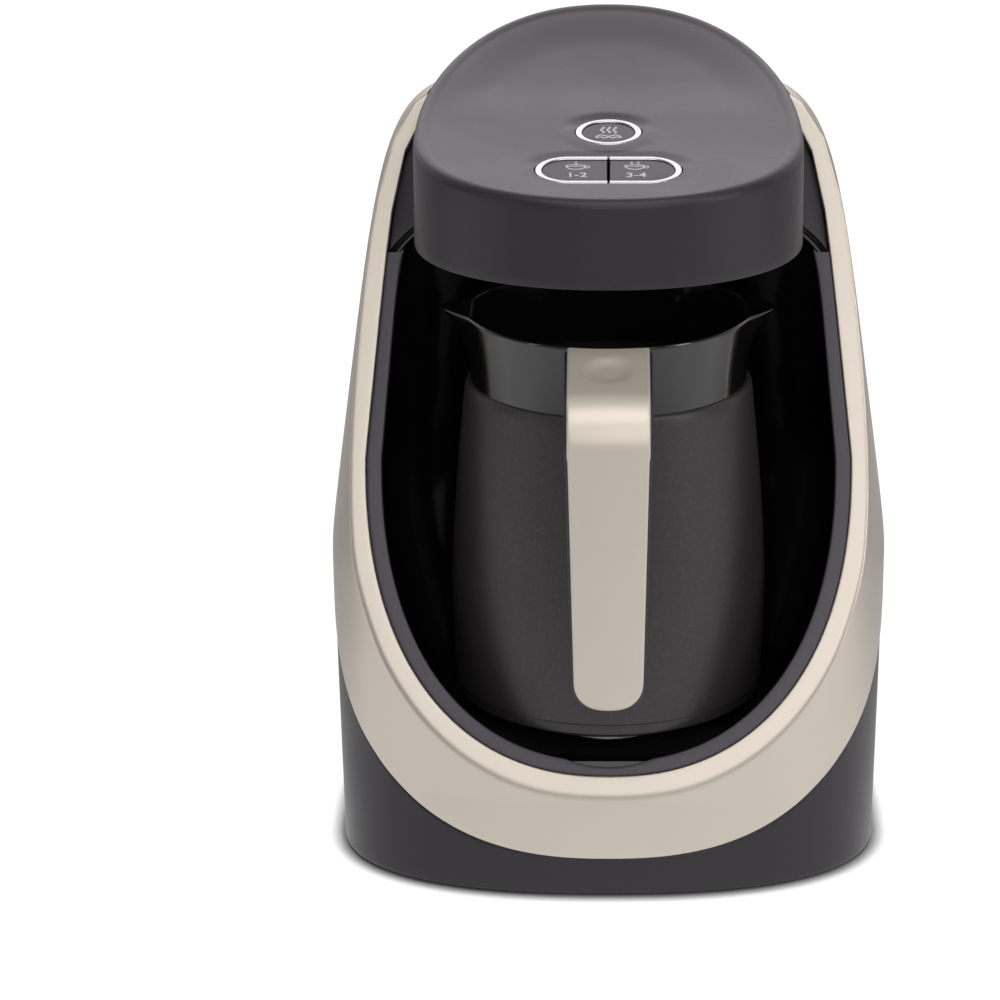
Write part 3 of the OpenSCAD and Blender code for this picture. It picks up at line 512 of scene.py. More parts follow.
def arch(half, low, top, taper, power):
    """Outline of the opening: a superellipse below its middle, drawn-in sides above."""
    outline = []
    for turn in np.linspace(-math.pi, math.pi, 1440, endpoint=False):
        t = abs(math.cos(turn)) ** (2 / power)
        if math.cos(turn) < 0:
            x, y = superellipse(turn, half, 2.3)
            outline.append((x, ARCH_MID + low * y))
        else:
            x = superellipse(turn, half, power)[0]
            outline.append((x * (1 - taper * t), ARCH_MID + (top - ARCH_MID) * t))
    return np.array(outline)


BAND_LOW, MOUTH_LOW = 89.6, 85.4


def band_opening(out=0.0):
    return arch(68.2 + out, BAND_LOW + out, 205.44 + out, 0.145, 7)


def mouth(out=0.0):
    return arch(63.7 + out, MOUTH_LOW + out, 170.95 + out, 0.09, 9)


def at_bearing(outline, x, v):
    """The point of an outline in the same direction from the opening's middle."""
    bearing = np.arctan2(outline[:, 0], ARCH_MID - outline[:, 1])
    order = np.argsort(bearing)
    want = math.atan2(x, ARCH_MID - v)
    return np.array([np.interp(want, bearing[order], outline[order, k], period=2 * math.pi)
                     for k in range(2)])


collar_inner = band_opening()
LIP_DEEP, EDGE_SOFT, LIP_SOFT = 4.4, 1.7, 0.5


def crease_line(angle, inset, back):
    """The skin from the floor to the leaning plane moved back by some millimetres."""
    line = upright(angle, inset)
    return upto(line, line[:, 1] - face_y(line[:, 2]) - back / math.cos(LEAN))


def collar_section(angle):
    outer = crease_line(angle, 0, 0)
    ahead = outer[:, 1] - seam_y(outer[:, 2]) + 0.9
    first = int(np.argmax(ahead < 0))
    outer = np.vstack([seam_point(angle, 0, -0.9), outer[first:]])
    corner = outer[-1]
    x, v = corner[0], (corner[2] - LIP_Z) / math.cos(LEAN)
    ex, ev = at_bearing(collar_inner, x, v)
    inward = np.array([ex - x, ev - v])
    band = np.linalg.norm(inward)
    inward /= band
    soft = min(EDGE_SOFT, 0.5 * band)
    steps = np.concatenate([[0], np.cumsum(np.linalg.norm(np.diff(outer, axis=0), axis=1))])
    reach = max(0.4, steps[-1] - soft)
    outer = np.vstack([outer[steps < reach],
                       [np.interp(reach, steps, outer[:, k]) for k in range(3)]])
    start = outer[-1]
    flat = on_face(x + inward[0] * soft, v + inward[1] * soft, 0)
    turn = [start * (1 - t) ** 2 + corner * 2 * t * (1 - t) + flat * t * t
            for t in np.linspace(0, 1, 11)[1:]]
    lip = min(LIP_SOFT, 0.2 * band)
    shallow, fade = SHELL_WALL + 0.3, min(1, max(0, (190 - ev) / 6))
    deep = shallow + (LIP_DEEP - shallow) * fade
    edge_start = on_face(ex - inward[0] * lip, ev - inward[1] * lip, 0)
    level = [flat + (edge_start - flat) * t for t in (0.35, 0.7, 1.0)]
    edge_end = on_face(ex, ev, -lip)
    edge_corner = on_face(ex, ev, 0)
    lip_turn = [edge_start * (1 - t) ** 2 + edge_corner * 2 * t * (1 - t) + edge_end * t * t
                for t in (0.25, 0.5, 0.75, 1.0)]
    inside = crease_line(angle, SHELL_WALL, SHELL_WALL)
    behind = inside[:, 1] - seam_y(inside[:, 2])
    inside = np.vstack([seam_point(angle, SHELL_WALL, 0),
                        inside[int(np.argmax(behind < 0)):]])[::-1]
    edge = [seam_point(angle, deep_in, behind_seam)
            for deep_in, behind_seam in ((0.9, 0), (0.45, -0.12), (0.13, -0.42))]
    lip_back = [on_face(ex, ev, -deep), on_face(ex - inward[0] * lip, ev - inward[1] * lip, -deep),
                on_face(ex - inward[0] * (lip + 0.2), ev - inward[1] * (lip + 0.2),
                        -SHELL_WALL - 0.1)]
    return np.vstack([edge, evenly(outer, 30), turn, level, lip_turn, lip_back, evenly(inside, 8)])


collar = skin("collar", np.stack([collar_section(a) for a in tower_angles], 1),
              tube=True, material=champagne.material)
cut(collar, head_cutter())
smooth(collar, 35)
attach(collar, "tower")
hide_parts("trim_collar")

# ---------------------------------------------------------------- tower: rim ring
# A semi-gloss grey moulding that lines the collar. Its ends are flat, under the cheeks,
# and a shallow hollow in its lower edge lets the pot's handle pass.
ring_grey = satin_plastic("ring_grey", (66, 62, 67), 0.26, 0.08)
RING_TOP = (169 - LIP_Z) / math.cos(LEAN)


def lower_part(outline, top, count):
    """The part of an outline below a height on the plane, from one side to the other."""
    bearing = np.arctan2(outline[:, 0], ARCH_MID - outline[:, 1])
    line = outline[np.argsort(bearing)]
    keep = np.nonzero(line[:, 1] <= top)[0]
    keep = keep[(keep > len(line) * 0.02) & (keep < len(line) * 0.98)]
    line = line[keep[0]:keep[-1] + 1]
    line[0, 1] = line[-1, 1] = top
    flat = np.column_stack([line, np.zeros(len(line))])
    return evenly(flat, count)[:, :2]


ring_outer = lower_part(band_opening(-0.15), RING_TOP, 421)
ring_inner = lower_part(mouth(), RING_TOP, 421)
NOTCH_R, NOTCH_DEEP = 34, 1.5
notch_mid = ARCH_MID - MOUTH_LOW + NOTCH_R - NOTCH_DEEP
hollow = notch_mid - np.sqrt(np.maximum(0, NOTCH_R ** 2 - ring_inner[:, 0] ** 2))
ring_inner[:, 1] = np.where(abs(ring_inner[:, 0]) < 30, np.minimum(ring_inner[:, 1], hollow),
                            ring_inner[:, 1])


def ring_row(part, out):
    points = ring_outer + (ring_inner - ring_outer) * part
    return [on_face(x, v, out) for x, v in points]


ring_rows = [ring_row(part, out) for part, out in (
    (0, -4.7), (0, -0.62), (0.02, -0.48), (0.07, -0.42), (0.20, -0.40), (0.55, -0.40),
    (0.89, -0.42), (0.94, -0.47), (0.975, -0.6), (0.995, -0.8), (1, -1.1), (1, -4.7))]
rim_ring = skin("rim_ring_dressed", ring_rows, ring=False, tube=True,
                material=ring_grey.material, caps=True)
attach(rim_ring, "tower")
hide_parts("rim_ring")

# ---------------------------------------------------------------- tower: liner of the well
# The polished black liner of the pot's well: a round bowl run out to the opening, with
# a narrow strip above the ring that closes the arch on both sides.


def polished(name, color, roughness):
    """Polished moulding: deep and glossy, with the faintest moulding waviness."""
    finish = Finish(name, color, roughness)
    finish.feed("Roughness", roughness + (finish.noise(35, 3) - 0.5) * 0.06)
    return finish.bump(finish.noise(60, 2), 0.00006, 0.25)


gloss_black = polished("gloss_black", (17, 16, 18), 0.10)
WELL_Y, WELL_TOP = -30, 181.5
WELL = [(46, 42), (48.5, 46), (52, 55), (56, 66), (60, 80), (62.8, 94), (64.3, 112), (63.4, 132),
        (62, 152)]


def finer(points, count):
    """A smooth run through a few points, as more points."""
    points = np.array(points, float)
    steps = np.concatenate([[0], np.cumsum(np.linalg.norm(np.diff(points, axis=0), axis=1))])
    slopes = np.gradient(points, steps, axis=0)
    out = []
    for place in np.linspace(0, steps[-1], count):
        k = min(len(steps) - 2, max(0, int(np.searchsorted(steps, place) - 1)))
        span = steps[k + 1] - steps[k]
        t = (place - steps[k]) / span
        out.append((2 * t ** 3 - 3 * t ** 2 + 1) * points[k]
                   + (t ** 3 - 2 * t ** 2 + t) * span * slopes[k]
                   + (3 * t ** 2 - 2 * t ** 3) * points[k + 1]
                   + (t ** 3 - t ** 2) * span * slopes[k + 1])
    return np.array(out)


bowl_side = np.vstack([[(0, 42), (44.6, 42), (45.3, 42.15)], finer(WELL[1:], 64), [(62, WELL_TOP)]])
turns = np.linspace(0, 2 * math.pi, 240, endpoint=False)
well_rows = [[(r * math.sin(t), WELL_Y + r * math.cos(t), z) for t in turns] for r, z in bowl_side]
well_rows.append([(0, WELL_Y, WELL_TOP)] * len(turns))
well = skin("well_air", well_rows)
run_outline = [(r, z) for r, z in bowl_side[1:]] + [(-r, z) for r, z in bowl_side[:0:-1]]
run_out = prism("run_out", run_outline, 0, 50, lambda x, z, y: (x, WELL_Y - y, z))
sill = prism("sill", [(-60, 43), (-60, 42), (-69.5, 37.0), (-95, 24), (-95, 43)], -60, 60,
             lambda y, z, x: (x, y, z))
cut(run_out, sill, "UNION")
room = prism("opening_air", mouth(1.6)[::3], -95, 4, on_face)
cut(run_out, room, "INTERSECT")
cut(well, run_out, "UNION")
flange = prism("flange", band_opening(-0.4)[::3], -6.3, -4.75, on_face)
cut(flange, well, keep=True)
cut(flange, head_cutter())
front_block = prism("front_block", [(-200, -200), (200, -200), (200, 400), (-200, 400)],
                    -4.7, 200, on_face)
cut(well, front_block)
cut(well, head_cutter())


def joined(main, *others):
    bpy.ops.object.select_all(action="DESELECT")
    for piece in others:
        piece.data.materials.clear()
        piece.data.materials.append(main.data.materials[0])
        piece.select_set(True)
    main.select_set(True)
    bpy.context.view_layer.objects.active = main
    bpy.ops.object.join()
    return main


def faces_where(piece, test):
    """Selects the faces of a piece, in edit mode, by their middle and normal."""
    bpy.ops.object.select_all(action="DESELECT")
    piece.select_set(True)
    bpy.context.view_layer.objects.active = piece
    bpy.ops.object.mode_set(mode="EDIT")
    bpy.ops.mesh.select_mode(type="FACE")
    bpy.ops.mesh.select_all(action="DESELECT")
    mesh = bmesh.from_edit_mesh(piece.data)
    for face in mesh.faces:
        face.select = bool(test(face.calc_center_median() / MM, face.normal))
    bmesh.update_edit_mesh(piece.data)


def off_face(place):
    """How far a place stands out from the opening's leaning plane."""
    return -(place.y - FRONT_Y) * math.cos(LEAN) + (place.z - LIP_Z) * math.sin(LEAN)


faces_where(well, lambda at, way: off_face(at) > -4.75 or (way.z > 0.99 and at.z > 170))
bpy.ops.mesh.delete(type="FACE")
bpy.ops.mesh.select_all(action="SELECT")
bpy.ops.mesh.flip_normals()
bpy.ops.object.mode_set(mode="OBJECT")
well.name = well.data.name = "well_liner"
well.data.materials.clear()
well.data.materials.append(gloss_black.material)
modified(well, "SOLIDIFY", thickness=1.6 * MM, offset=-1)
joined(well, flange)
smooth(well, 32)
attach(well, "tower")
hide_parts("cavity_liner")


# ---------------------------------------------------------------- tower: arch and cheeks
# Beside the head a satin cheek closes each upper corner of the opening. A polished bead
# follows its lower edge, an arch that springs from the collar and levels off.

def side_of(outline, v):
    """Half an outline's width at a height above its middle."""
    upper = outline[(outline[:, 1] > ARCH_MID) & (outline[:, 0] > 0)]
    upper = upper[np.argsort(upper[:, 1])]
    return np.interp(v, upper[:, 1], upper[:, 0])


SPRING_V, ARCH_IN, CHEEK_IN, CHEEK_TOP, CHEEK_OUT = RING_TOP + 0.15, 14.0, 46, 196, -2.9
cheek_outer = band_opening(-0.3)
spring_x = side_of(cheek_outer, SPRING_V)
arch_curve = [(spring_x - a, SPRING_V + 1.4 * a - 0.05 * a * a)
              for a in np.linspace(0, ARCH_IN, 30)]
arch_curve += [(x, arch_curve[-1][1]) for x in np.linspace(spring_x - ARCH_IN, CHEEK_IN, 6)[1:]]


def cheek_rows(side):
    """The cheek between the collar and the arch, then the head, with rounded edges."""
    inner = arch_curve + [(CHEEK_IN, v) for v in np.linspace(arch_curve[-1][1], CHEEK_TOP, 20)[1:]]
    rows = []
    for step, out in ((0, -4.7), (0, CHEEK_OUT - 0.4), (0.12, CHEEK_OUT - 0.12), (0.4, CHEEK_OUT),
                      (-0.4, CHEEK_OUT), (-0.12, CHEEK_OUT - 0.12), (0, CHEEK_OUT - 0.4), (0, -4.7)):
        row = []
        for x, v in inner:
            outer_x = side_of(cheek_outer, v)
            edge = min(abs(step), (outer_x - x) / 2)
            row.append(on_face(side * (outer_x - edge if len(rows) < 4 else x + edge), v, out))
        rows.append(row)
    return rows


def strip_rows(side):
    """The black bead that follows the arch, just inside the cheek's edge."""
    points = np.array([(side * x, v) for x, v in arch_curve])
    along = np.gradient(points, axis=0)
    along /= np.linalg.norm(along, axis=1)[:, None]
    inward = np.column_stack([along[:, 1], -along[:, 0]]) * -side
    return [[on_face(*(p + w * step), out) for p, w in zip(points, inward)]
            for step, out in ((0.1, -4.7), (0.1, -3.5), (0.25, -3.2), (0.6, -3.05), (1.0, -3.2),
                              (1.15, -3.5), (1.4, -3.6), (1.75, -3.5), (2.1, -3.6), (2.2, -3.9),
                              (2.2, -4.7))]


for side, hand in ((-1, "left"), (1, "right")):
    strip = skin("arch_strip_" + hand, strip_rows(side), ring=False, tube=True,
                 material=gloss_black.material, caps=True)
    cut(strip, head_cutter())
    smooth(strip, 35)
    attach(strip, "tower")
    cheek = skin("cheek_" + hand, cheek_rows(side), ring=False, tube=True,
                 material=anthracite.material, caps=True)
    cut(cheek, head_cutter())
    smooth(cheek, 30)
    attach(cheek, "tower")
    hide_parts("cheek_panels")

# ---------------------------------------------------------------- head
# The head over the pot: a satin anthracite shell with a dished top and a rounded rim,
# with two openings for the buttons and a soft hollow behind each of them.
DECK_Y, DECK_Z, DECK_TILT = -38.0, 204.56, math.radians(8.5)
ROUND_V, PILL_V, ROUND_D, PILL_W, PILL_D = 13.9, -13.2, 18.5, 40.2, 18.8
HEAD_FRONT_TOP, HEAD_ROUND, HEAD_WALL = 200.45, 2.7, 1.2


def head_top(y):
    """The height of the head's top, which rises ever faster towards the back."""
    ahead = y - (HEAD_MID_Y - HEAD_FRONT)
    return HEAD_FRONT_TOP + 0.0670 * ahead + 0.000945 * ahead * ahead


def on_deck(x, v, up):
    """A place on the button deck: across, back along it, and up from it."""
    return np.array([x, DECK_Y + v * math.cos(DECK_TILT) - up * math.sin(DECK_TILT),
                     DECK_Z + v * math.sin(DECK_TILT) + up * math.cos(DECK_TILT)])


def beyond_button(x, y):
    """How far a point of the top lies outside the nearer button, and how far behind it."""
    v = (y - DECK_Y) / math.cos(DECK_TILT)
    across = max(0, abs(x) - (PILL_W - PILL_D) / 2)
    from_round, from_pill = math.hypot(x, v - ROUND_V), math.hypot(across, v - PILL_V)
    if from_round - ROUND_D / 2 < from_pill - PILL_D / 2:
        return from_round - ROUND_D / 2, (v - ROUND_V) / max(from_round, 1e-6)
    return from_pill - PILL_D / 2, (v - PILL_V) / max(from_pill, 1e-6)


def eased(t):
    t = min(1, max(0, t))
    return t * t * (3 - 2 * t)


SCOOP_WIDE, SCOOP_DEEP, DISH_DEEP = 5.0, 0.8, 0.8


def top_place(x, y, drop, inside=0.0):
    """A point of the head's top: dished behind the buttons, and scooped out close to them."""
    z = head_top(y) - drop - DISH_DEEP * eased((inside - 2) / 12) * eased((y + 14) / 26)
    z -= 0.25 * eased((inside - 0.2) / 1.4)
    away, behind = beyond_button(x, y)
    deck = DECK_Z + (y - DECK_Y) * math.tan(DECK_TILT) + 0.02 - SCOOP_DEEP * eased(behind * 1.6)
    near = 1 - eased((away - 0.5) / SCOOP_WIDE)
    return z + (deck - z) * near


head_turns = np.linspace(0, 2 * math.pi, 288, endpoint=False)


def head_ring(inset, part, height):
    """The head's outline, drawn in, with a height for each of its places."""
    outline = [head_point(t, inset, part) for t in head_turns]
    return [(x, y, height(x, y)) for x, y in outline]


head_rows = [head_ring(inset, 1, lambda x, y: HEAD_Z + up) for inset, up in (
    (2.4, 2), (2.4, 0.3), (2.1, 0), (0.7, 0), (0.2, 0.2), (0, 0.7))]
for level in np.linspace(0.12, 0.88, 6):
    head_rows.append(head_ring(
        0, 1, lambda x, y: HEAD_Z + (head_top(y) - HEAD_ROUND - HEAD_Z) * level))
for turn in np.radians(np.linspace(0, 90, 10)):
    head_rows.append(head_ring(HEAD_ROUND * (1 - math.cos(turn)), 1,
                               lambda x, y: top_place(x, y, HEAD_ROUND * (1 - math.sin(turn)))))
for part in np.linspace(0.99, 0.0, 100):
    head_rows.append(head_ring(HEAD_ROUND, part, lambda x, y: top_place(x, y, 0, (1 - part) * 52)))
head = skin("head", head_rows, material=anthracite.material, crease=40)
modified(head, "SOLIDIFY", thickness=HEAD_WALL * MM, offset=-1)


BUTTON_GAP = 0.25
round_opening = circle(ROUND_D / 2 + BUTTON_GAP, y=ROUND_V)
pill_opening = pill(PILL_W + 2 * BUTTON_GAP, PILL_D + 2 * BUTTON_GAP, PILL_V)
cut(head, prism("round_opening", round_opening, -12, 12, on_deck))
cut(head, prism("pill_opening", pill_opening, -12, 12, on_deck))
smooth(head, 40)
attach(head, "tower")
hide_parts("head_shell")

# ---------------------------------------------------------------- head: buttons
# One round and two half-pill caps of satin grey plastic, each with a plated rim pressed
# round it. The legends are printed in pale grey: steam over embers, and cups.
button_grey = satin_plastic("button_grey", (45, 42, 46), 0.46, 0.12)
legend_grey = Finish("legend_grey", (205, 203, 205), 0.5)
legend_grey.feed("Roughness", legend_grey.noise(4000, 2) * 0.3 + 0.35)
plated = Finish("plated", (190, 188, 187), 0.2, Metallic=1.0)
plated.feed("Roughness", plated.noise(120, 3) * 0.10 + 0.20)
CHROME_W, RIM_TOP, SPLIT, CAP_DEEP, CAP_SOFT = 1.8, 0.08, 0.7, 4, 0.5
FACE_UP = RIM_TOP - 0.4


def normals_of(outline, closed):
    """Outward directions along an outline that runs clockwise, seen from above."""
    points = np.array(outline, float)
    if closed:
        along = np.roll(points, -1, 0) - np.roll(points, 1, 0)
    else:
        along = np.gradient(points, axis=0)
    along /= np.linalg.norm(along, axis=1)[:, None]
    return np.column_stack([-along[:, 1], along[:, 0]])


def plated_rim(name, outline, closed=True):
    """The rim's profile, of distances inwards and heights, carried along an outline."""
    points, outward = np.array(outline, float), normals_of(outline, closed)
    rows = [[on_deck(*(point - way * step), height) for point, way in zip(points, outward)]
            for step, height in rim_profile]
    return skin(name, rows, ring=closed, tube=True, material=plated.material, caps=not closed,
                crease=40)


RIM_LOW = -2.25
rim_profile = [(0, RIM_LOW)] + [(step, RIM_TOP - drop) for step, drop in (
    (0, 0.5), (0.06, 0.28), (0.22, 0.1), (0.5, 0.01), (0.95, 0), (1.4, 0.01), (1.68, 0.1),
    (1.84, 0.28), (CHROME_W, 0.5))] + [(CHROME_W, RIM_LOW)]


def half_pill(side, inset, corner=0.0):
    """Outline of one half of the pair, from the split round the outside and back."""
    straight, radius = (PILL_W - PILL_D) / 2, PILL_D / 2 - inset
    start = SPLIT / 2
    arc = [(straight + radius * math.sin(t), PILL_V + radius * math.cos(t))
           for t in np.linspace(0, math.pi, 40)]
    line = [(x, PILL_V + radius) for x in np.linspace(start + corner, straight, 9)[:-1]]
    back = [(x, PILL_V - radius) for x in np.linspace(straight, start + corner, 9)[1:]]
    outline = line + arc + back
    if corner:
        low, high, quarter = PILL_V - radius, PILL_V + radius, np.linspace(0, math.pi / 2, 5)
        outline += [(start + corner * (1 - math.sin(t)), low + corner * (1 - math.cos(t)))
                    for t in quarter[1:]]
        outline += [(start, y) for y in np.linspace(low + corner, high - corner, 13)[1:-1]]
        outline += [(start + corner * (1 - math.cos(t)), high - corner * (1 - math.sin(t)))
                    for t in quarter[:-1]]
    if side < 0:
        outline = [(-x, y) for x, y in outline[::-1]]
    return outline


def button_cap(name, outline, middle, wide_outline):
    """A cap with a soft edge and a flat face, its flange and its stem."""
    outline, centre = np.array(outline, float), np.array(middle)
    outward = normals_of(outline, True)
    rows = [[on_deck(*(outline.mean(0)), FACE_UP - CAP_DEEP)] * len(outline)]
    for step, drop in ((0, CAP_DEEP), (0, 0.3), (0.08, 0.12), (0.24, 0.03), (CAP_SOFT, 0)):
        rows.append([on_deck(*(p - w * step), FACE_UP - drop) for p, w in zip(outline, outward)])
    last = outline - outward * CAP_SOFT
    for part in (0.75, 0.5, 0.25, 0.0):
        rows.append([on_deck(*(centre + (p - centre) * part), FACE_UP - 0.03 * (1 - part))
                     for p in last])
    cap = skin(name, rows, material=button_grey.material, crease=50)
    flange = prism("flange", wide_outline, FACE_UP - CAP_DEEP, FACE_UP - 2.4, on_deck)
    stem = prism("stem", circle(2, 32, *middle), -11.6, FACE_UP - 3.9, on_deck)
    return joined(cap, flange, stem)


INK = 0.03


def stroke(points, width, closed=False):
    """One printed line of a legend: a flat ribbon a hair above the button's face."""
    points = np.array(points, float)
    outward = normals_of(points, closed)
    rows = [[on_deck(*(p + w * width * k), FACE_UP + up) for p, w in zip(points, outward)]
            for k, up in ((0.5, -0.02), (0.45, INK), (-0.45, INK), (-0.5, -0.02))]
    return skin("stroke", rows, ring=closed, tube=True, material=legend_grey.material,
                caps=not closed)


def lettering(text, x, v, size):
    """Printed figures, laid on the button's face."""
    curve = bpy.data.curves.new("figures", "FONT")
    curve.body = text
    curve.size = size * MM
    curve.align_x, curve.align_y = "CENTER", "CENTER"
    curve.extrude = INK * MM
    curve.offset = 0.05 * MM
    figures = bpy.data.objects.new("figures", curve)
    bpy.context.scene.collection.objects.link(figures)
    bpy.ops.object.select_all(action="DESELECT")
    figures.select_set(True)
    bpy.context.view_layer.objects.active = figures
    bpy.ops.object.convert(target="MESH")
    for vertex in figures.data.vertices:
        vertex.co = Vector(on_deck(x + vertex.co.x / MM, v + vertex.co.y / MM,
                                   FACE_UP + vertex.co.z / MM)) * MM
    figures.data.materials.append(legend_grey.material)
    return figures


def cup_sign(x, v, steam):
    """A small cup seen from above and in front: its mouth, bowl, handle and steam."""
    turns = np.linspace(0, 2 * math.pi, 28, endpoint=False)
    mouth_ring = [(x + 2.7 * math.sin(t), v + 0.9 + 0.55 * math.cos(t)) for t in turns]
    bowl = [(x + a, v + b) for a, b in (
        (-2.7, 0.75), (-2.3, -0.5), (-1.4, -1.4), (0, -1.7), (1.4, -1.4), (2.3, -0.5), (2.7, 0.75))]
    grip = [(x + a, v + b) for a, b in (
        (2.6, 0.5), (3.5, 0.55), (3.7, -0.1), (3.1, -0.7), (2.3, -0.7))]
    lines = [stroke(mouth_ring, 0.36, closed=True), stroke(finer(bowl, 28), 0.46),
             stroke(finer(grip, 16), 0.4)]
    for wisp in steam:
        lines.append(stroke([(x + wisp + 0.3 * math.sin(k * 1.1), v + 1.8 + 0.26 * k)
                             for k in range(8)], 0.34))
    return lines


def wave(x, v, tall):
    return [(x + 0.42 * math.sin(k * 0.75), v + tall * k / 12) for k in range(13)]


slow_sign = [stroke(wave(x, ROUND_V - 0.4, 4.6), 0.56) for x in (-1.7, 0.0, 1.7)]
ember_top = [(-3.6, -3.4), (-2.9, -2.2), (-2.0, -1.7), (-1.0, -2.2), (0.0, -2.5), (1.0, -2.2),
             (2.0, -1.7), (2.9, -2.2), (3.6, -3.4)]
ember_low = [(-3.3, -3.9), (-2.2, -3.1), (-1.1, -3.9), (0, -3.1), (1.1, -3.9), (2.2, -3.1),
             (3.3, -3.9)]
for embers in (ember_top, ember_low):
    slow_sign.append(stroke(finer([(x, ROUND_V + v) for x, v in embers], 48), 0.5))

slow_cap = button_cap("slow_cap", circle(ROUND_D / 2 - CHROME_W - 0.05, 96, 0, ROUND_V),
                      (0, ROUND_V), circle(ROUND_D / 2 - 0.02, 96, 0, ROUND_V))
slow_rim = plated_rim("slow_rim", circle(ROUND_D / 2, 128, 0, ROUND_V))
slow_legend = joined(*slow_sign)
slow_legend.name = "slow_legend"
for piece, slot in ((slow_cap, "button_face"), (slow_rim, "chrome"), (slow_legend, "button_face")):
    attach(piece, "slow_key")
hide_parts("slow_button")
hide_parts("slow_button_rim")

for side, cups, figures, steam in ((-1, "small", "1-2", (0,)), (1, "large", "3-4", (-0.9, 0.9))):
    middle = (side * PILL_W / 4, PILL_V)
    cap = button_cap(cups + "_cup_cap", half_pill(side, CHROME_W + 0.05, corner=0.5), middle,
                     half_pill(side, 0.02, corner=0.3))
    rim = plated_rim(cups + "_cup_rim_plated", half_pill(side, 0), closed=False)
    sign_x = -8.9 if side < 0 else 7.2
    legend = joined(*cup_sign(sign_x, PILL_V + 2.6, steam),
                    lettering(figures, sign_x + 0.3, PILL_V - 3.2, 4.3))
    legend.name = cups + "_cup_legend"
    for piece, slot in ((cap, "button_face"), (rim, "chrome"), (legend, "button_face")):
        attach(piece, cups + "_cup_key")
    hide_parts(cups + "_cup_button")
    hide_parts(cups + "_cup_rim")

# ---------------------------------------------------------------- pot
# A drawn pot with a satin, faintly sparkling coating, a polished crown with a beak-like
# spout at each side and a rounded base disc that stands on the heating plate.
POT_Y, POT_Z, POT_H, CROWN_H = -30.0, 45.8, 111.6, 20.0
CROWN_LOW = POT_Z + POT_H - CROWN_H


def turned(name, profile, material):
    """A turned piece: its profile, as radius and height, spun round the pot's axis."""
    turns = np.linspace(0, 2 * math.pi, 192, endpoint=False)
    rows = [[(r * math.sin(t), POT_Y + r * math.cos(t), z) for t in turns] for r, z in profile]
    return skin(name, rows, material=material)


def pot_radius(h):
    if h < 32:
        return 44.5 - 1.2 * ((32 - h) / 28.8) ** 2
    return 44.5 - 4.6 * ((h - 32) / 62.8) ** 1.45


def coating(name, color, roughness, flake, **constants):
    """Baked non-stick coating with a fine sparkle."""
    finish = Finish(name, color, roughness, **constants)
    grains = finish.node("TexVoronoi", {}, {"Vector": finish.place, "Scale": 2300}, "Color")
    sparkle = finish.spread(grains, 0.62, 0.98)
    finish.feed("Base Color", finish.mix(sparkle * flake, finish.shade(1.0), finish.shade(4.5)))
    finish.feed("Roughness", roughness + (finish.noise(60, 2) - 0.5) * 0.08)
    return finish.bump(finish.noise(1500, 2), 0.00003, 0.3)


pot_satin = coating("pot_satin", (55, 51, 53), 0.42, 0.16, Metallic=0.3)
pot_polished = coating("pot_polished", (40, 37, 38), 0.14, 0.04, Metallic=0.6,
                       Coat_Weight=0.6, Coat_Roughness=0.06)

side_heights = np.linspace(3.35, POT_H - CROWN_H - 1.3, 44)
body_profile = [(pot_radius(3.2) - 1.0, POT_Z + 3.25), (pot_radius(3.2) - 0.25, POT_Z + 3.3)]
body_profile += [(pot_radius(h), POT_Z + h) for h in side_heights]
shoulder_r = pot_radius(POT_H - CROWN_H)
body_profile += [(shoulder_r - inward, CROWN_LOW - drop) for inward, drop in (
    (0.05, 0.9), (0.25, 0.5), (0.65, 0.2), (1.2, 0.03), (2.6, 0))]
body_profile += [(pot_radius(h) - 1.2, POT_Z + max(h, 5.6)) for h in side_heights[::-1]]
body_profile += [(38, POT_Z + 4.6), (0, POT_Z + 4.4)]
pot_body = turned("pot_side", body_profile, pot_satin.material)
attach(pot_body, "pot")
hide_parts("pot_body")


def crown_point(turn, t, inset):
    beak = abs(math.sin(turn))
    r = 38.9 + 1.7 * max(0, t) ** 2 + 6.6 * beak ** 60 * max(0, t) ** 2.8 - inset
    lift = 0.6 * beak ** 4 * t * t
    return r * math.sin(turn), POT_Y + r * math.cos(turn), CROWN_LOW + CROWN_H * t + lift


crown_turns = []
for quarter in range(4):
    spaced = np.linspace(0, 1, 84, endpoint=False)
    spaced = 1 - (1 - spaced) ** 1.8 if quarter % 2 == 0 else spaced ** 1.8
    crown_turns += list((quarter + spaced) * math.pi / 2)
crown_steps = [(level, 0) for level in np.linspace(0, 0.955, 26)]
crown_steps += [(0.955 + 0.045 * math.sin(a), 0.6 - 0.6 * math.cos(a))
                for a in np.radians([20, 45, 70, 90, 110, 135, 160, 180])]
crown_steps += [(level, 1.2) for level in np.linspace(0.93, 0, 20)]
crown_rows = [[crown_point(t, level, inset) for t in crown_turns] for level, inset in crown_steps]
crown = skin("crown", crown_rows, tube=True, material=pot_polished.material)
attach(crown, "pot")
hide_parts("pot_crown")

base_profile = [(0, POT_Z), (42.3, POT_Z), (42.36, POT_Z + 0.04), (42.4, POT_Z + 0.12),
                (42.6, POT_Z + 2.6), (42.55, POT_Z + 2.9), (42.3, POT_Z + 3.1), (0, POT_Z + 3.1)]
pot_base = turned("base_disc", base_profile, pot_satin.material)
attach(pot_base, "pot")
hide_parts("pot_base")

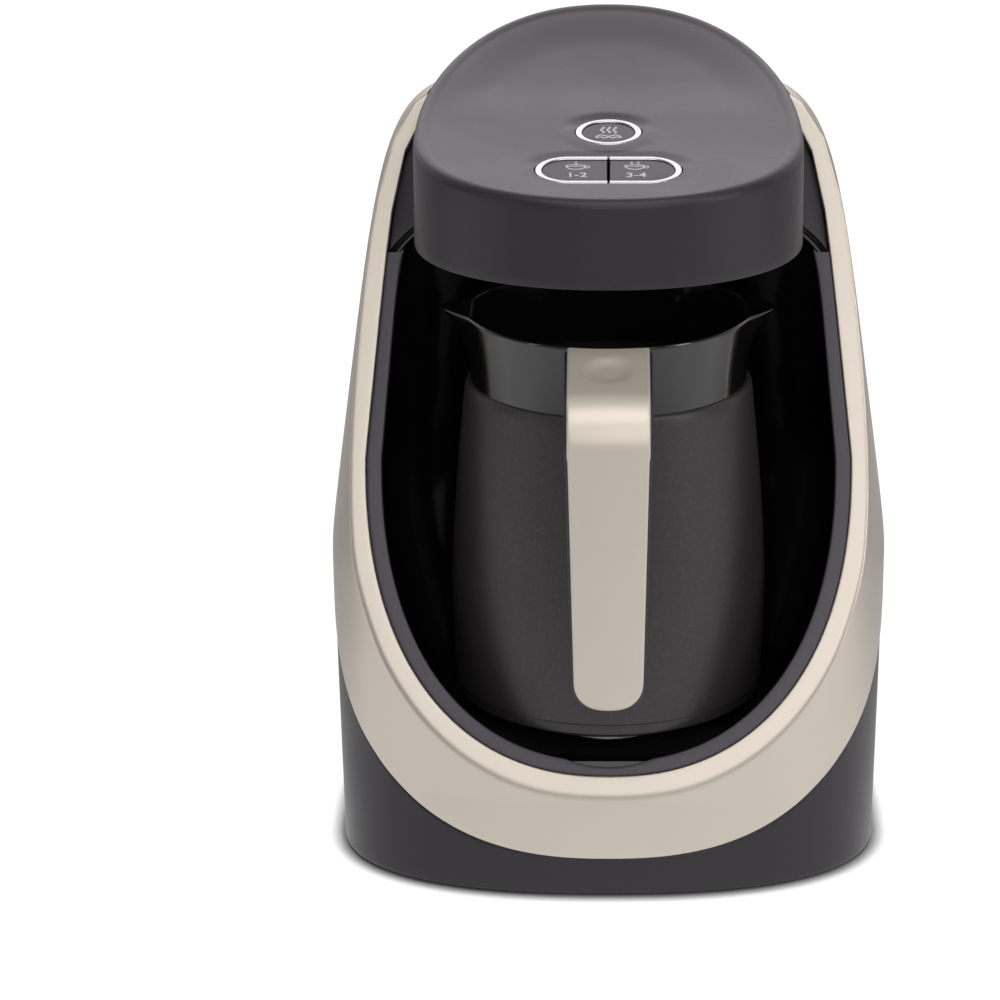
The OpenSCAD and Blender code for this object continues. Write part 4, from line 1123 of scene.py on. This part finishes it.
# ---------------------------------------------------------------- pot: handle
# A black moulded strap that leaves the crown, turns down over a round bend and ends in
# rounded corners, with a champagne cover let into its front and a hollow for the thumb.
COVER_T, CORE_T, BEND_R, LEG_LEAN, TOP_SLOPE = 1.8, 5.0, 15.0, math.radians(2), math.radians(14)
LEAVE_Y, LEAVE_Z, FOREMOST_Y, HANDLE_LOW, END_ROUND = -70.0, 157.8, -104.0, 63.1, 8.6
END_HALF, LEG_LONG = 10.1, 83
bend_y = FOREMOST_Y + BEND_R
bend_z = (LEAVE_Z - (LEAVE_Y - bend_y + BEND_R * math.sin(TOP_SLOPE)) * math.tan(TOP_SLOPE)
          - BEND_R * math.cos(TOP_SLOPE))
grained_black = Finish("grained_black", (26, 25, 27), 0.42)
grained_black.feed("Roughness", grained_black.noise(700, 3) * 0.25 + 0.3)
grained_black.bump(grained_black.noise(2200, 2), 0.00005, 0.5)


def half_width(from_end, inset):
    """Half the handle's width at a distance up from its rounded lower end."""
    near = min(1.0, max(0.0, (END_ROUND - from_end + inset) / END_ROUND))
    wide = END_HALF + 0.023 * min(from_end, LEG_LONG) - inset
    return wide * (1 - near ** 2.4) ** (1 / 2.4)


def crown_front(x, z, clear):
    """How far forward the pot's crown reaches, at a place across and a height."""
    t = min(1.0, max(0.0, (z - CROWN_LOW) / CROWN_H))
    r = 38.9 + 1.7 * t * t + clear
    return POT_Y - math.sqrt(r * r - x * x)


def strap_point(stage, k, u, inset, deep, clear):
    """A point of the strap: its place along, across (-1 to 1), in from its edge, and its depth."""
    radius = BEND_R - deep
    if stage == "leg":
        top = bend_z - radius * math.sin(LEG_LEAN)
        length = (top - HANDLE_LOW) / math.cos(LEG_LEAN)
        from_end = max(length * (1 - k), inset)
        down = length - from_end
        return (u * half_width(from_end, inset),
                bend_y - radius * math.cos(LEG_LEAN) + down * math.sin(LEG_LEAN),
                top - down * math.cos(LEG_LEAN))
    x = u * half_width(LEG_LONG, inset)
    if stage == "bend":
        turn = TOP_SLOPE + (math.pi / 2 + LEG_LEAN - TOP_SLOPE) * k
        return x, bend_y - radius * math.sin(turn), bend_z + radius * math.cos(turn)
    end_y = bend_y - radius * math.sin(TOP_SLOPE)
    end_z = bend_z + radius * math.cos(TOP_SLOPE)
    start = crown_front(x, end_z + (LEAVE_Y - end_y) * math.tan(TOP_SLOPE), clear)
    y = start + (end_y - start) * k
    return x, y, end_z + (y - end_y) * math.tan(TOP_SLOPE)


# The cover is the collar's champagne lacquer, made again in a lighter colour: that lighter colour is
# painted light that brightens the handle. The copy is also less metallic and a little rougher.
champagne_lit_copy = pearl_lacquer("champagne_lit_copy", (217, 206, 193), 0.40, 0.4)
stations = [("top", k) for k in np.linspace(0, 1, 44)]
stations += [("bend", k) for k in np.linspace(0, 1, 30)[1:]]
stations += [("leg", k) for k in np.linspace(0, 0.86, 40)[1:]]
stations += [("leg", 0.86 + 0.14 * math.sin(t)) for t in np.linspace(0, math.pi / 2, 34)[1:]]
THUMB_Y, THUMB_R, THUMB_DEEP = -81.6, 6.9, 1.0


def strap(name, outer, inner, inset, clear, edge, material, bow=0.0, thumb=False):
    """The strap between two depths, inset from its sides and clear of the crown, with its
    edges rounded all the way round its end, and its face bowed."""
    turned_in = [(edge * (1 - math.sin(t)), edge * (1 - math.cos(t)))
                 for t in np.linspace(0, math.pi / 2, 6)]
    loop = [(u, inset + edge, outer + bow * u * u) for u in np.linspace(-1, 1, 45)]
    outer += bow
    loop += [(1, inset + a, outer + b) for a, b in turned_in[1:]]
    loop += [(1, inset + b, inner - a) for a, b in turned_in]
    loop += [(u, inset + edge, inner) for u in np.linspace(1, -1, 9)[1:-1]]
    loop += [(-1, inset + a, inner - b) for a, b in turned_in]
    loop += [(-1, inset + b, outer + a) for a, b in turned_in[:-1]]
    rows = []
    for stage, k in stations:
        row = []
        for u, into, deep in loop:
            x, y, z = strap_point(stage, k, u, into, deep, clear)
            if thumb and stage == "top":
                from_thumb = math.hypot(x, (y - THUMB_Y) / math.cos(TOP_SLOPE)) / THUMB_R
                if from_thumb < 1.12:
                    sink = THUMB_DEEP * eased((1.12 - from_thumb) / 0.75)
                    y, z = y + sink * math.sin(TOP_SLOPE), z - sink * math.cos(TOP_SLOPE)
            row.append((x, y, z))
        rows.append(row)
    return skin(name, rows, material=material, caps=True, crease=40)


handle_cover = strap("handle_front", 0, COVER_T - 0.05, 0.8, 0.3, 0.7,
                     champagne_lit_copy.material, bow=0.4, thumb=True)
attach(handle_cover, "pot")
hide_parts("handle_cover")
handle_core = strap("handle_strap", COVER_T, COVER_T + CORE_T, 0, 0.1, 0.9, grained_black.material)
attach(handle_core, "pot")
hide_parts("handle_core")

# ---------------------------------------------------------------- base: plate, feet, gland
# Under the pot sits a turned steel plate in a rubber seal; under the tower four rubber
# feet; and low on the back the soft gland that the cord would come through.
turned_steel = Finish("turned_steel", (158, 157, 155), 0.28, Metallic=1.0)
axis = turned_steel.node("Mapping", {}, {"Vector": turned_steel.place,
                                         "Location": (0, -POT_Y * MM, 0)})
across, along, _ = turned_steel.parts(axis)
from_axis = (across * across + along * along) ** 0.5
ripples = turned_steel.node("Math", {"operation": "SINE"}, {0: from_axis * 9000})
turned_steel.feed("Roughness", turned_steel.noise(300, 3) * 0.16 + ripples * 0.04 + 0.22)
turned_steel.bump(ripples, 0.00002, 0.35)

plate_profile = [(0, 45.78), (10, 45.78), (33.6, 45.8), (34.2, 45.65), (34.5, 45.2), (34.5, 43.1),
                 (34.3, 43.0), (32.5, 43.0), (32.5, 40.2), (0, 40.2)]
hot_plate = turned("hot_plate", plate_profile, turned_steel.material)
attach(hot_plate, "tower")
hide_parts("heating_plate")

soft_black = Finish("soft_black", (31, 31, 32), 0.72)
soft_black.feed("Base Color", soft_black.mix(
    soft_black.noise(180, 4), soft_black.shade(0.8), soft_black.shade(1.3)))
soft_black.bump(soft_black.noise(1600, 3), 0.00008, 0.5)
foot_profile = [(0, 0), (5.9, 0), (6.6, 0.15), (6.95, 0.5), (7, 0.9), (7, 1.78), (0, 1.78)]
feet = []
turns = np.linspace(0, 2 * math.pi, 48, endpoint=False)
for x, y in ((-48, -46), (48, -46), (-42, 74), (42, 74)):
    feet.append(skin("foot", [[(x + r * math.sin(t), y + r * math.cos(t), z) for t in turns]
                              for r, z in foot_profile], material=soft_black.material))
feet = joined(*feet)
feet.name = "feet"
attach(feet, "tower")
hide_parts("rubber_feet")

gland_profile = [(3.6, 92), (6.2, 92), (6.5, 92.3), (6.5, 99.0), (8.8, 99.0), (8.9, 99.2),
                 (8.9, 100.3), (8.7, 100.5), (6.5, 100.5), (6.5, 102.0), (8.7, 102.0),
                 (8.9, 102.2), (8.9, 103.2), (8.5, 103.8), (7.9, 104), (5.0, 104), (4.2, 103.8),
                 (3.7, 103.2), (3.6, 102.6)]
turns = np.linspace(0, 2 * math.pi, 64, endpoint=False)
gland = skin("gland", [[(r * math.sin(t), y, GLAND_Z + r * math.cos(t)) for t in turns]
                       for r, y in gland_profile],
             tube=True, material=soft_black.material, crease=30)
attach(gland, "tower")
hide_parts("cord_gland")

# ---------------------------------------------------------------- carried-over parts
# Screws, boards, the heater's parts and the inner mouldings keep the shapes they were
# made with and take the finishes of what they really are.
zinc = Finish("zinc", (176, 176, 178), 0.32, Metallic=1.0)
zinc.feed("Roughness", zinc.noise(900, 3) * 0.25 + 0.2)
zinc.bump(zinc.noise(2500, 2), 0.00002, 0.4)
board = Finish("board", (18, 74, 44), 0.35, Coat_Weight=0.4, Coat_Roughness=0.15)
bricks = board.node("TexBrick", {"offset": 0.35}, {
    "Vector": board.place, "Scale": 260, "Mortar Size": 0.035, "Brick Width": 0.9,
    "Row Height": 0.42}, "Fac")
tracks = board.spread(bricks, 0.3, 0.7)
board.feed("Base Color", board.mix(tracks * 0.6, board.shade(1.0), board.shade(2.4)))
board.bump(tracks, 0.00003, 0.5)
ceramic = Finish("ceramic", (226, 220, 205), 0.55)
ceramic.feed("Base Color", ceramic.mix(ceramic.noise(250, 4), ceramic.shade(0.86), ceramic.shade(1.0)))
ceramic.bump(ceramic.noise(1200, 3), 0.00004, 0.4)
cases = Finish("cases", (44, 74, 122), 0.38)
cases.feed("Base Color", cases.mix(cases.noise(110, 3), cases.shade(0.85), cases.shade(1.15)))
cases.bump(cases.noise(1500, 2), 0.00004, 0.4)
sleeve = Finish("sleeve", (198, 196, 186), 0.6)
sleeve.feed("Base Color", sleeve.mix(sleeve.noise(400, 3), sleeve.shade(0.85), sleeve.shade(1.05)))
sleeve.bump(sleeve.noise(2200, 2), 0.00004, 0.4)
lens = Finish("lens", (236, 240, 244), 0.12, Transmission_Weight=0.6)
lens.feed("Roughness", lens.noise(600, 2) * 0.1 + 0.08)
smoked = Finish("smoked", (58, 16, 18), 0.10, Transmission_Weight=0.5)
smoked.feed("Roughness", smoked.noise(300, 2) * 0.08 + 0.05)

finishes = {
    "dark_plastic": grained_black, "screw_steel": zinc, "circuit_board": board,
    "plate_steel": turned_steel, "fuse_ceramic": ceramic, "power_parts": cases,
    "wire_sleeve": sleeve, "led_lens": lens, "sensor_window": smoked, "rubber": soft_black,
    "anthracite_body": anthracite, "champagne": champagne, "rim_grey": ring_grey,
    "gloss_black": gloss_black, "button_face": button_grey, "chrome": plated,
    "pot_coating": pot_satin, "pot_gloss": pot_polished}
for subpart in frame["record"]["subparts"]:
    for slot in frame["nodes"][subpart["node"]].material_slots:
        slot.material = finishes[subpart["material_slot"]].material

# ---------------------------------------------------------------- table
# The pale table top that the machine stands on, which runs out of sight. What the
# machine mirrors of it is brightest close by, and a tight shadow lies under the skirt.
bpy.ops.object.select_all(action="DESELECT")
bpy.ops.mesh.primitive_plane_add(size=12)
table = bpy.context.active_object
table.name = "table"
pale = Finish("pale_table", (150, 150, 150), 0.6)
camera_ray, glossy_ray, through_ray = [
    pale.node("LightPath", out="Is " + kind + " Ray") for kind in ("Camera", "Glossy", "Transmission")]
glow = pale.node("Emission", {}, {"Color": (1, 1, 1, 1), "Strength": 1.6})
_, ahead, _ = pale.parts(pale.place)
near = pale.node("ValToRGB", {"stops": [(0.15, 0.34), (0.36, 0.46), (0.52, 0.72), (0.64, 0.66),
                                        (0.74, 0.27), (0.85, 0.12)]},
                 {"Fac": ahead * (1 / 1.2) + 0.667})
around = pale.node("AmbientOcclusion", {"samples": 8}, {"Distance": 0.007}, "AO")
open_sky = pale.spread(around, 0.58, 0.86)
lit = pale.node("MixShader", {}, {
    0: camera_ray * open_sky * 0.6 + (glossy_ray + through_ray) * near,
    1: Value(pale, pale.shader.outputs[0]), 2: glow})
pale.tree.links.new(lit.socket, pale.tree.nodes["Material Output"].inputs["Surface"])
table.data.materials.append(pale.material)
